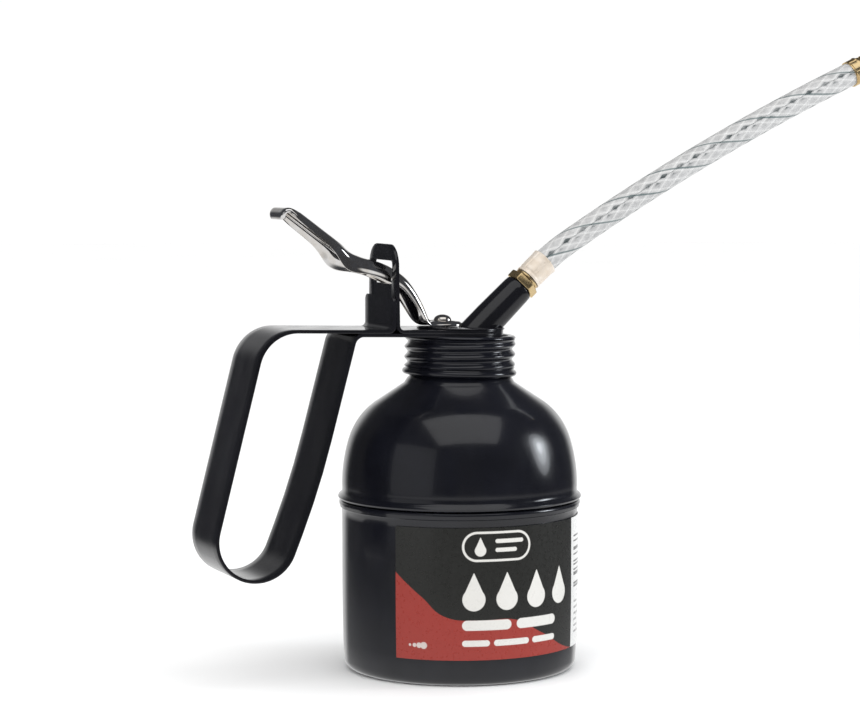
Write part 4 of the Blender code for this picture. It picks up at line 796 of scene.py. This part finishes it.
class OILCAN_OT_cap(bpy.types.Operator):
    """Model the screw cap with its rolled thread and curled bead"""

    bl_idname = "oilcan.cap"
    bl_label = "Screw cap"

    def execute(self, context):
        """Model the cap."""
        sizes = context.scene.oil_can_sizes
        sheet = 0.0005
        low = CAP_LOW.z
        bead = CAP_HIGH.x
        thread_low = low + 0.0024
        thread_high = CAP_TOP - 0.0010
        count = 62
        wall = [(sizes.cap_radius, thread_low + (thread_high - thread_low) * step / count)
                for step in range(count + 1)]
        crest = sizes.cap_radius + sizes.thread_depth
        top = CAP_TOP - CAP_RECESS
        rows = [(0.0142, top - 0.0003), (0.0150, top - 0.0003), (crest - sheet, CAP_TOP - sheet - 0.0004)]
        rows += [(radius - sheet, height) for radius, height in reversed(wall)]
        rows += [(crest - sheet, low + 0.0018), (crest - sheet, low + 0.0005)]
        rows += arc_points((bead - 0.0009, low + 0.00095), 0.0009, radians(-140), radians(80), 14)
        rows += wall
        rows += arc_points((crest - 0.0009, CAP_TOP - 0.0009), 0.0009, radians(10), radians(88), 7)
        rows += [(0.0159, CAP_TOP), (0.0152, top + 0.0001), (0.0148, top)]
        cap = grow_round(rows, 144)
        press_thread(cap, sizes.thread_pitch, sizes.thread_depth, thread_low, thread_high, 0.0155, True)
        apply_place(cap, LEAN)
        finish_piece(cap, "screw_cap", FINISHES["enamel"], "pump", ("cap",))
        return {"FINISHED"}


class OILCAN_OT_label(bpy.types.Operator):
    """Model the wrap-around label and its print"""

    bl_idname = "oilcan.label"
    bl_label = "Label"

    def execute(self, context):
        """Model the label."""
        sizes = context.scene.oil_can_sizes
        first, last = radians(-144), radians(-9)
        rows = []
        for step in range(41):
            height = sizes.label_bottom + (sizes.label_top - sizes.label_bottom) * step / 40
            reach = wall_radius(sizes, height) + 0.00024
            row = []
            for turn in range(109):
                angle = first + (last - first) * turn / 108
                row.append((reach * cos(angle), reach * sin(angle), height))
            rows.append(row)
        label = shape_grid(rows)
        apply_modifier(label, "SOLIDIFY", thickness=0.00016, offset=0.0)
        width = (last - first) * sizes.can_radius * 1000
        height = (sizes.label_top - sizes.label_bottom) * 1000
        paper = printed("label_print", context.scene.oil_can_colours, width, height, 64.3)
        finish_piece(label, "printed_label", paper, "can", ("wrap_label",))
        return {"FINISHED"}


def bend_strap(stations):
    """Return a strap through (x, z, half width) stations; its edges are left square."""
    rows = []
    for x, z, half in stations:
        rows.append([(x, half * (1 - step / 3), z) for step in range(7)])
    strap = shape_grid(rows)
    apply_modifier(strap, "SOLIDIFY", thickness=STRAP_THICKNESS, offset=0.0, use_even_offset=True)
    return strap


def round_edges(piece, width, segments=3, angle=50.0):
    """Round a piece's sharp edges."""
    apply_modifier(piece, "BEVEL", width=width, segments=segments, limit_method="ANGLE",
                   angle_limit=radians(angle), use_clamp_overlap=True)


class OILCAN_OT_straps(bpy.types.Operator):
    """Model the strap handle and the lever bracket with its window"""

    bl_idname = "oilcan.straps"
    bl_label = "Handle and bracket"

    def execute(self, context):
        """Model both straps."""
        upper = UPPER_LAYER + STRAP_THICKNESS / 2
        lower = LOWER_LAYER + STRAP_THICKNESS / 2
        rise = tan(HEAD_LEAN)
        bottom = STRAP_LOW.z + STRAP_THICKNESS / 2
        sweep_x = -0.0392 - (lower - 0.060) * tan(radians(15.3))
        outer_slope = tan(radians(14.5))
        corners = [
            (SHORT_UPRIGHT_X, STRAP_HIGH.z, 0.0),
            (SHORT_UPRIGHT_X, upper - SHORT_UPRIGHT_X * rise, 0.0020),
            (-0.0831 + (upper + 0.002 - 0.048) * outer_slope, upper + 0.0673 * rise, 0.0125),
            (-0.0831 - (0.048 - bottom) * outer_slope, bottom, 0.0123),
            (sweep_x - (0.060 - bottom) * tan(radians(22.0)), bottom, 0.0123),
            (sweep_x, 0.060, 0.2500),
            (-0.0390, lower + 0.0390 * rise, 0.0033),
            (-DISC_RADIUS, lower + DISC_RADIUS * rise, 0.0),
        ]
        stations = [(SHORT_UPRIGHT_X, STRAP_HIGH.z - 0.0020 * (1 - cos(step * pi / 12)),
                     round_corner(0.0020 * (1 - cos(step * pi / 12)), STRAP_WIDTH / 2, 0.0020))
                    for step in range(6)]
        stations += [(point.x, point.y, STRAP_WIDTH / 2) for point in rounded_path(corners, 28)[1:-1]]
        handle = bend_strap(stations + disc_route(lower))
        round_edges(handle, 0.00030)
        finish_piece(handle, "strap_handle", FINISHES["satin"], "pump", ("handle_strap",))

        top = BRACKET_HIGH.z
        corner = 0.0068
        stations = []
        for step in range(11):
            drop = corner * (1 - cos(step * pi / 20))
            stations.append((BRACKET_X, top - drop, round_corner(drop, 0.0115, corner)))
        path = rounded_path([(BRACKET_X, top - corner, 0.0), (BRACKET_X, upper - BRACKET_X * rise, 0.0020),
                             (-DISC_RADIUS, upper + DISC_RADIUS * rise, 0.0)], 28)
        for point in path[1:-1]:
            share = max(0.0, (point.y - upper) / (top - upper))
            stations.append((point.x, point.y, STRAP_WIDTH / 2 - 0.00075 * share))
        bracket = bend_strap(stations + disc_route(upper))
        deselect_all()
        bpy.ops.mesh.primitive_cube_add(size=1.0, location=(BRACKET_X, 0.0, WINDOW_SILL + 0.0036),
                                        scale=(0.004, 0.0164, 0.0072))
        window = bpy.context.object
        apply_place(window)
        round_edges(window, 0.0012, 5)
        cut_away(bracket, window)
        round_edges(bracket, 0.00028)
        finish_piece(bracket, "window_bracket", FINISHES["satin"], "pump", ("lever_bracket",))
        return {"FINISHED"}


class OILCAN_OT_head(bpy.types.Operator):
    """Model the pump head: a round flange with a slanted spout socket"""

    bl_idname = "oilcan.head"
    bl_label = "Pump head"

    def execute(self, context):
        """Model the pump head."""
        rows = [(0.0130, FLANGE_BOTTOM), (0.01365, FLANGE_BOTTOM + 0.00002),
                (DISC_RADIUS, FLANGE_BOTTOM + 0.0001), (DISC_RADIUS, FLANGE_TOP - 0.0002),
                (DISC_RADIUS - 0.0001, FLANGE_TOP - 0.00005), (DISC_RADIUS - 0.0003, FLANGE_TOP)]
        head = grow_round(rows, 112)
        apply_place(head, LEAN)
        mouth = 0.0048
        tube = [(0.0052, -SOCKET_LENGTH - 0.008), (0.0052, -SOCKET_LENGTH + 0.002),
                (mouth + 0.0001, -0.0020),
                (mouth, -0.0005), (mouth - 0.00015, -0.00015), (mouth - 0.00045, 0.0), (0.0031, 0.0),
                (0.0029, -0.0002), (0.0029, -0.0068)]
        socket = grow_round(tube, 64)
        apply_place(socket, spout_place(0.0))
        in_edit_mode(socket, lambda: bpy.ops.mesh.bisect(
            plane_co=(0.0088, 0.0, FLANGE_TOP - 0.0004), plane_no=(0.0, 0.0, 1.0),
            use_fill=True, clear_inner=True))
        join_on(head, socket)
        deselect_all()
        bpy.ops.mesh.primitive_cylinder_add(vertices=48, radius=0.0019, depth=0.004,
                                            location=(PUMP_X, 0.0, FLANGE_TOP))
        cut_away(head, bpy.context.object)
        finish_piece(head, "pump_head_casting", FINISHES["satin"], "pump", ("pump_head",))
        return {"FINISHED"}


def lever_stations():
    """Return (x, z, half width, wall depth, splay) along the lever's upper face."""
    pad_start = Vector((-0.0570, 0.1444))
    pad_end = Vector((-0.0392, 0.1312))
    slope = (pad_end - pad_start).normalized()
    up = Vector((-slope.y, slope.x))
    curl = 0.0021
    centre = pad_start - up * curl
    lean = atan2(up.y, up.x)
    stations = []
    for step in range(9):
        share = step / 8
        angle = radians(215) + (lean - radians(215)) * share
        spot = centre + curl * Vector((cos(angle), sin(angle)))
        stations.append((spot.x, spot.y, 0.0056 + 0.0014 * share ** 0.6, 0.0010 + 0.0003 * share, 0.0))
    pad = (pad_end - pad_start).length
    for share, half, depth in ((0.06, 0.0073, 0.0016), (0.14, 0.0076, 0.0019), (0.32, 0.0077, 0.0021),
                               (0.52, 0.0077, 0.0022), (0.72, 0.0077, 0.0024), (0.88, 0.0077, 0.0034)):
        spot = pad_start + slope * pad * share
        stations.append((spot.x, spot.y, half, depth, 0.0004))
    stations += [
        (-0.0392, 0.1312, 0.0076, 0.0046, 0.0004),
        (-0.0378, 0.1303, 0.0075, 0.0050, 0.0003),
        (-0.0364, 0.1297, 0.0073, 0.0050, 0.0002),
        (-0.0346, 0.1290, 0.0070, 0.0045, 0.0001),
        (-0.0328, 0.1285, 0.0066, 0.0041, 0.0),
        (-0.0305, 0.1280, 0.0062, 0.0041, 0.0),
        (-0.0278, 0.1273, 0.0060, 0.0042, 0.0),
        (BRACKET_X, WINDOW_SILL + 0.0050, 0.0060, 0.0044, 0.0),
        (-0.0221, 0.1244, 0.0060, 0.0038, 0.0),
        (-0.0192, 0.1222, 0.0060, 0.0033, 0.0),
        (-0.0170, 0.1191, 0.0060, 0.0029, 0.0),
        (-0.0152, 0.1161, 0.0060, 0.0026, 0.0),
        (-0.0138, 0.1131, 0.0060, 0.0022, 0.0),
        (-0.0127, EYE_TOP + 0.0018, 0.0058, 0.0016, 0.0),
        (-0.0120, EYE_TOP + 0.0004, 0.0055, 0.0010, 0.0),
        (-0.0108, EYE_TOP, 0.0053, 0.0010, 0.0),
        (-0.0082, EYE_TOP, 0.0052, 0.0010, 0.0),
    ]
    for angle in (80, 62, 45, 28, 10):
        stations.append((PUMP_X + 0.0011 + 0.0052 * cos(radians(angle)), EYE_TOP,
                         0.0052 * sin(radians(angle)), 0.0010, 0.0))
    return stations


class OILCAN_OT_lever(bpy.types.Operator):
    """Model the pressed channel lever with its curled nose, ears and slotted eye"""

    bl_idname = "oilcan.lever"
    bl_label = "Thumb lever"

    def execute(self, context):
        """Model the lever."""
        plate = context.scene.oil_can_sizes.lever_plate
        stations = lever_stations()
        rows = []
        for index, (x, z, half, depth, splay) in enumerate(stations):
            before = stations[max(index - 1, 0)]
            after = stations[min(index + 1, len(stations) - 1)]
            along = Vector((after[0] - before[0], 0.0, after[1] - before[1])).normalized()
            down = Vector((along.z, 0.0, -along.x))
            corner = min(0.0013 if x < -0.040 else 0.0030, depth * 0.72, half * 0.5)
            outline = [(half + splay, depth - plate * 0.1), (half + splay * 0.5, (depth + corner) / 2)]
            outline += [(half - corner + corner * cos(radians(turn)), corner - corner * sin(radians(turn)))
                        for turn in (0, 30, 60, 90)]
            outline += [((half - corner) * 0.5, 0.0), (0.0, 0.0)]
            mirrored = [(-across, drop) for across, drop in reversed(outline[:-1])]
            base = Vector((x, 0.0, z))
            rows.append([base + Vector((0.0, across, 0.0)) + down * drop
                         for across, drop in outline + mirrored])
        lever = shape_grid(rows)
        pick(lever)
        apply_modifier(lever, "SUBSURF", levels=2, render_levels=2)
        middle = lever.data.polygons[len(lever.data.polygons) // 2]
        inward = 1.0 if middle.normal.z < 0 else -1.0
        apply_modifier(lever, "SOLIDIFY", thickness=plate, offset=inward, use_even_offset=True,
                       thickness_clamp=0.6)
        slot_half = 0.00195
        deselect_all()
        bpy.ops.mesh.primitive_cube_add(size=1.0, location=(PUMP_X - 0.0018, 0.0, EYE_TOP - plate / 2),
                                        scale=(0.0036 + 2 * slot_half, 2 * slot_half, 0.004))
        slot = bpy.context.object
        apply_place(slot)
        apply_modifier(slot, "BEVEL", width=slot_half * 0.98, segments=8, limit_method="ANGLE",
                       angle_limit=radians(40), affect="EDGES", use_clamp_overlap=True)
        cut_away(lever, slot)
        face_outwards(lever)
        round_edges(lever, 0.00016, 2, 60.0)
        finish_piece(lever, "chrome_lever", FINISHES["chrome"], "lever", ("thumb_lever",),
                     crease=50.0)
        return {"FINISHED"}


class OILCAN_OT_rod(bpy.types.Operator):
    """Model the pump rod with its domed head"""

    bl_idname = "oilcan.rod"
    bl_label = "Pump rod"

    def execute(self, context):
        """Model the rod."""
        head = EYE_TOP + 0.0001
        radius = (ROD_HIGH.x - ROD_LOW.x) / 2
        rows = [(0.0014, ROD_LOW.z), (0.0016, ROD_LOW.z + 0.0002), (0.0016, head), (radius - 0.0005, head),
                (radius - 0.0001, head + 0.0001), (radius, head + 0.0004), (radius, head + 0.0008)]
        rows += [(radius * cos(radians(turn)), head + 0.0008 + 0.0018 * sin(radians(turn)))
                 for turn in range(8, 88, 8)]
        rows += [(0.0001, head + 0.0026)]
        rod = grow_round(rows, 64)
        apply_place(rod, Matrix.Translation((PUMP_X, 0.0, 0.0)))
        finish_piece(rod, "domed_pump_rod", FINISHES["chrome"], "plunger", ("pump_rod",))
        return {"FINISHED"}


def crimped_ferrule(start, length_along, petals, sizes):
    """Return a ferrule pressed onto the hose in petals, from a distance along it."""
    count = 26
    inner = sizes.hose_radius + 0.00008
    outer = sizes.hose_radius + 0.00045
    distances = [start + length_along * step / count for step in range(count + 1)]
    places = hose_places(distances)
    rows = []
    for step, place in enumerate(places):
        share = step / count
        waist = 0.00022 * max(0.0, 1.0 - abs(share - 0.14) / 0.06)
        mouth = 0.00018 * max(0.0, (share - 0.80) / 0.20)
        row = []
        for turn in range(97):
            angle = 2 * pi * turn / 96
            groove = max(0.0, 1.0 - abs(sin(angle * petals / 2)) / 0.26)
            fade = min(1.0, max(0.0, (share - 0.10) / 0.10))
            reach = outer - waist + mouth - 0.00030 * groove * fade
            row.append(place @ Vector((reach * cos(angle), reach * sin(angle), 0.0)))
        rows.append(row)
    for step in range(count, -1, -1):
        row = []
        for turn in range(97):
            angle = 2 * pi * turn / 96
            row.append(places[step] @ Vector((inner * cos(angle), inner * sin(angle), 0.0)))
        rows.append(row)
    rows.append(rows[0])
    ferrule = shape_grid(rows, wrapped=True)
    face_outwards(ferrule)
    return ferrule


class OILCAN_OT_fittings(bpy.types.Operator):
    """Model the hex fitting, its washer, both ferrules and the nozzle"""

    bl_idname = "oilcan.fittings"
    bl_label = "Spout fittings"

    def execute(self, context):
        """Model the fittings."""
        sizes = context.scene.oil_can_sizes
        deselect_all()
        flats = 0.0092 / 2
        bpy.ops.mesh.primitive_cylinder_add(vertices=6, radius=flats / cos(pi / 6), depth=HEX_LENGTH,
                                            location=(0.0, 0.0, SEAT_GAP + HEX_LENGTH / 2))
        hexagon = bpy.context.object
        apply_place(hexagon)
        round_edges(hexagon, 0.00035, 3, 40.0)
        barb = grow_round([(0.0026, -0.0062), (0.0026, 0.0010), (0.0026, 0.0025), (0.0022, 0.0029),
                           (0.0022, 0.0080), (0.0017, 0.0090)], 48)
        join_on(hexagon, barb)
        apply_place(hexagon, spout_place(0.0) @ Matrix.Rotation(radians(12), 4, "Z"))
        finish_piece(hexagon, "brass_hex", FINISHES["brass"], "pump", ("hex_fitting",), crease=30.0)

        low = SEAT_GAP + HEX_LENGTH + SEAT_GAP
        high = low + WASHER_THICKNESS
        ring = [(0.0025, low), (0.0038, low), (0.0041, low + 0.0001), (0.00415, low + 0.0003),
                (0.00415, high - 0.0003), (0.0041, high - 0.0001), (0.0038, high), (0.0025, high)]
        washer = grow_round(ring, 72, closed_ring=True)
        apply_place(washer, spout_place(0.0))
        finish_piece(washer, "brass_washer", FINISHES["brass"], "pump", ("fitting_washer",))

        near = crimped_ferrule(0.0, FERRULE_LENGTH, 7, sizes)
        finish_piece(near, "base_crimp", FINISHES["ferrule"], "pump", ("base_ferrule",))
        far = crimped_ferrule(HOSE_LENGTH - TIP_RING, TIP_RING, 7, sizes)
        finish_piece(far, "tip_crimp", FINISHES["brass"], "spout", ("tip_ferrule",))

        tip = SEAT_GAP + 0.0220
        rows = [(0.0017, -0.0065), (0.0022, -0.0055), (0.0022, SEAT_GAP), (0.0036, SEAT_GAP),
                (0.0039, SEAT_GAP + 0.0002), (0.0040, SEAT_GAP + 0.0006), (0.0040, SEAT_GAP + 0.0012),
                (0.0036, SEAT_GAP + 0.0016), (0.0036, SEAT_GAP + 0.0020), (0.0040, SEAT_GAP + 0.0024),
                (0.0040, SEAT_GAP + 0.0030), (0.0038, SEAT_GAP + 0.0034), (0.0029, SEAT_GAP + 0.0037)]
        rows += [(0.0029 - 0.0013 * step / 6, SEAT_GAP + 0.0037 + 0.0143 * step / 6) for step in range(1, 7)]
        rows += [(0.0016, tip - 0.0004), (0.0015, tip - 0.0001), (0.0013, tip), (0.0009, tip),
                 (0.0008, tip - 0.0001), (0.0008, tip - 0.0080)]
        nozzle = grow_round(rows, 64)
        apply_place(nozzle, hose_places([HOSE_LENGTH])[0])
        finish_piece(nozzle, "brass_nozzle", FINISHES["brass"], "spout", ("nozzle",))
        return {"FINISHED"}


class OILCAN_OT_hose(bpy.types.Operator):
    """Model the braided hose of the flexible spout"""

    bl_idname = "oilcan.hose"
    bl_label = "Braided hose"

    def execute(self, context):
        """Model the hose along its bent path between its two ends."""
        sizes = context.scene.oil_can_sizes
        steps = 180
        distances = [HOSE_LENGTH * step / steps for step in range(steps + 1)]
        places = hose_places(distances)
        rows = []
        # Turns the UV map round the hose so that one row of the painted bore shade in the braid's gaps faces
        # the camera.
        facing = radians(248)
        for place in places:
            row = []
            for turn in range(65):
                angle = facing + 2 * pi * turn / 64
                reach = sizes.hose_radius
                row.append(place @ Vector((reach * cos(angle), reach * sin(angle), 0.0)))
            rows.append(row)
        hose = shape_grid(rows)
        apply_modifier(hose, "SOLIDIFY", thickness=0.0012, offset=-1.0)
        pick(hose)
        in_edit_mode(hose, lambda: bpy.ops.mesh.remove_doubles(threshold=0.000002))
        lowest = min(vertex.co.x for vertex in hose.data.vertices)
        finish_piece(hose, "braided_spout_hose", FINISHES["hose"], None, ("hose_lower", "hose_upper"))
        start = places[round(steps * 0.12)].translation
        if lowest > start.x:
            raise RuntimeError("the hose starts beyond its fitting")
        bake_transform(hose)
        return {"FINISHED"}


def soft_box(name, direction, distance, size, power, tint=(1.0, 1.0, 1.0), shape="RECTANGLE"):
    """Add a studio light that faces the can."""
    target = Vector((0.0, 0.0, 0.085))
    data = bpy.data.lights.new(name, "AREA")
    data.shape = shape
    data.size, data.size_y = size
    data.energy = power
    data.color = tint
    lamp = bpy.data.objects.new(name, data)
    bpy.context.scene.collection.objects.link(lamp)
    lamp.location = target + Vector(direction).normalized() * distance
    lamp.rotation_euler = (target - lamp.location).to_track_quat("-Z", "Y").to_euler()
    return lamp


def backdrop_light():
    """Light the scene with a pale room that is bright behind the can."""
    world = bpy.data.worlds.new("pale_room")
    bpy.context.scene.world = world
    world.use_nodes = True
    tree = world.node_tree
    background = tree.nodes["Background"]
    background.inputs["Strength"].default_value = 1.0
    source = tree.nodes.new("ShaderNodeTexCoord")
    flat = tree.nodes.new("ShaderNodeVectorMath")
    flat.operation = "MULTIPLY"
    flat.inputs[1].default_value = (1.0, 1.0, 0.0)
    tree.links.new(source.outputs["Generated"], flat.inputs[0])
    unit = tree.nodes.new("ShaderNodeVectorMath")
    unit.operation = "NORMALIZE"
    tree.links.new(flat.outputs["Vector"], unit.inputs[0])
    heading = tree.nodes.new("ShaderNodeVectorMath")
    heading.operation = "DOT_PRODUCT"
    heading.inputs[1].default_value = (cos(BACKDROP_HEADING), sin(BACKDROP_HEADING), 0.0)
    tree.links.new(unit.outputs["Vector"], heading.inputs[0])
    height = tree.nodes.new("ShaderNodeSeparateXYZ")
    tree.links.new(source.outputs["Generated"], height.inputs["Vector"])

    def fade(value, low, high, to_low, to_high):
        """Return a value that fades between two limits."""
        node = tree.nodes.new("ShaderNodeMapRange")
        node.interpolation_type = "SMOOTHSTEP"
        for key, number in (("From Min", low), ("From Max", high), ("To Min", to_low), ("To Max", to_high)):
            node.inputs[key].default_value = number
        tree.links.new(value, node.inputs["Value"])
        return node.outputs["Result"]

    def combine(operation, first, second):
        """Return the result of a sum on two values."""
        node = tree.nodes.new("ShaderNodeMath")
        node.operation = operation
        tree.links.new(first, node.inputs[0])
        tree.links.new(second, node.inputs[1])
        return node.outputs[0]

    behind = fade(heading.outputs["Value"], cos(radians(40)), cos(radians(22)), 0.0, 1.0)
    low_down = fade(height.outputs["Z"], 0.14, 0.42, 1.0, 0.0)
    table = fade(height.outputs["Z"], -0.30, -0.13, 0.80, 0.0)
    lit = combine("MAXIMUM", combine("MULTIPLY", behind, low_down), table)
    glow = tree.nodes.new("ShaderNodeMix")
    glow.data_type = "RGBA"
    glow.inputs[6].default_value = (0.050, 0.052, 0.058, 1.0)
    glow.inputs[7].default_value = (0.96, 0.96, 0.96, 1.0)
    tree.links.new(lit, glow.inputs[0])
    path = tree.nodes.new("ShaderNodeLightPath")
    shown = tree.nodes.new("ShaderNodeMix")
    shown.data_type = "RGBA"
    shown.inputs[6].default_value = (1.14, 1.14, 1.14, 1.0)
    shown.inputs[7].default_value = (1.02, 1.02, 1.02, 1.0)
    tree.links.new(path.outputs["Is Camera Ray"], shown.inputs[0])
    mix = tree.nodes.new("ShaderNodeMix")
    mix.data_type = "RGBA"
    tree.links.new(path.outputs["Is Glossy Ray"], mix.inputs[0])
    tree.links.new(shown.outputs[2], mix.inputs[6])
    tree.links.new(glow.outputs[2], mix.inputs[7])
    tree.links.new(mix.outputs[2], background.inputs["Color"])


class OILCAN_OT_stage(bpy.types.Operator):
    """Make the pale floor, the studio lights and the camera"""

    bl_idname = "oilcan.stage"
    bl_label = "Stage"

    def execute(self, context):
        """Make the stage."""
        deselect_all()
        bpy.ops.mesh.primitive_circle_add(vertices=96, radius=4.0, fill_type="NGON",
                                          location=(0.0, 0.0, -0.0002))
        floor = context.object
        apply_place(floor)
        floor.name = "pale_floor"
        nodes = Nodes("pale_floor")
        tone = nodes.noise(nodes.coordinates(), 6.0, 2.0, 0.5)
        pale = nodes.mix(tone, (0.86, 0.86, 0.86), (0.90, 0.90, 0.90))
        nodes.link(pale, nodes.shader.inputs["Base Color"])
        nodes.set(Roughness=0.9, Specular_IOR_Level=0.0)
        floor.data.materials.append(nodes.material)
        floor.visible_glossy = False

        backdrop_light()
        cool = (0.90, 0.95, 1.0)
        right = (0.88, -0.34, 0.27)
        soft_box("right_softbox", right, 0.85, (0.34, 0.46), 1.2, cool, "ELLIPSE")
        soft_box("right_middle", right, 0.84, (0.22, 0.30), 0.7, cool, "ELLIPSE")
        soft_box("right_core", right, 0.83, (0.09, 0.12), 0.25, cool, "ELLIPSE")
        soft_box("top_softbox", (-0.10, -0.46, 0.92), 0.95, (1.10, 0.95), 3.1)
        soft_box("left_panel", (-0.93, -0.34, 0.16), 1.15, (0.95, 0.80), 0.75)

        data = bpy.data.cameras.new("camera")
        data.sensor_width = 36.0
        data.lens = 113.75
        data.clip_start = 0.01
        camera = bpy.data.objects.new("camera", data)
        context.scene.collection.objects.link(camera)
        camera.location = (-0.3268, -0.7847, 0.16213)
        camera.rotation_euler = (radians(85.70), radians(0.12), radians(-22.0))
        context.scene.camera = camera
        context.scene.view_settings.view_transform = "Standard"
        return {"FINISHED"}


STEPS = (
    OILCAN_OT_finishes,
    OILCAN_OT_can,
    OILCAN_OT_cap,
    OILCAN_OT_label,
    OILCAN_OT_straps,
    OILCAN_OT_head,
    OILCAN_OT_lever,
    OILCAN_OT_rod,
    OILCAN_OT_fittings,
    OILCAN_OT_hose,
    OILCAN_OT_stage,
)


class OILCAN_PT_panel(bpy.types.Panel):
    """List the oil can's sizes, colours and steps in the sidebar"""

    bl_idname = "OILCAN_PT_panel"
    bl_label = "Oil Can"
    bl_space_type = "VIEW_3D"
    bl_region_type = "UI"
    bl_category = "Oil Can"

    def draw(self, context):
        """Draw the panel."""
        layout = self.layout
        for group in (context.scene.oil_can_sizes, context.scene.oil_can_colours):
            column = layout.column()
            for key in group.__annotations__:
                column.prop(group, key)
        for step in STEPS:
            layout.operator(step.bl_idname)


CLASSES = (OilCanSizes, OilCanColours, *STEPS, OILCAN_PT_panel)


def register():
    """Register the classes and their settings."""
    for item in CLASSES:
        bpy.utils.register_class(item)
    bpy.types.Scene.oil_can_sizes = bpy.props.PointerProperty(type=OilCanSizes)
    bpy.types.Scene.oil_can_colours = bpy.props.PointerProperty(type=OilCanColours)


def unregister():
    """Remove the classes and their settings."""
    del bpy.types.Scene.oil_can_colours
    del bpy.types.Scene.oil_can_sizes
    for item in reversed(CLASSES):
        bpy.utils.unregister_class(item)


def main():
    """Model everything in order."""
    register()
    for step in STEPS:
        family, name = step.bl_idname.split(".")
        getattr(getattr(bpy.ops, family), name)()


if __name__ == "__main__":
    main()
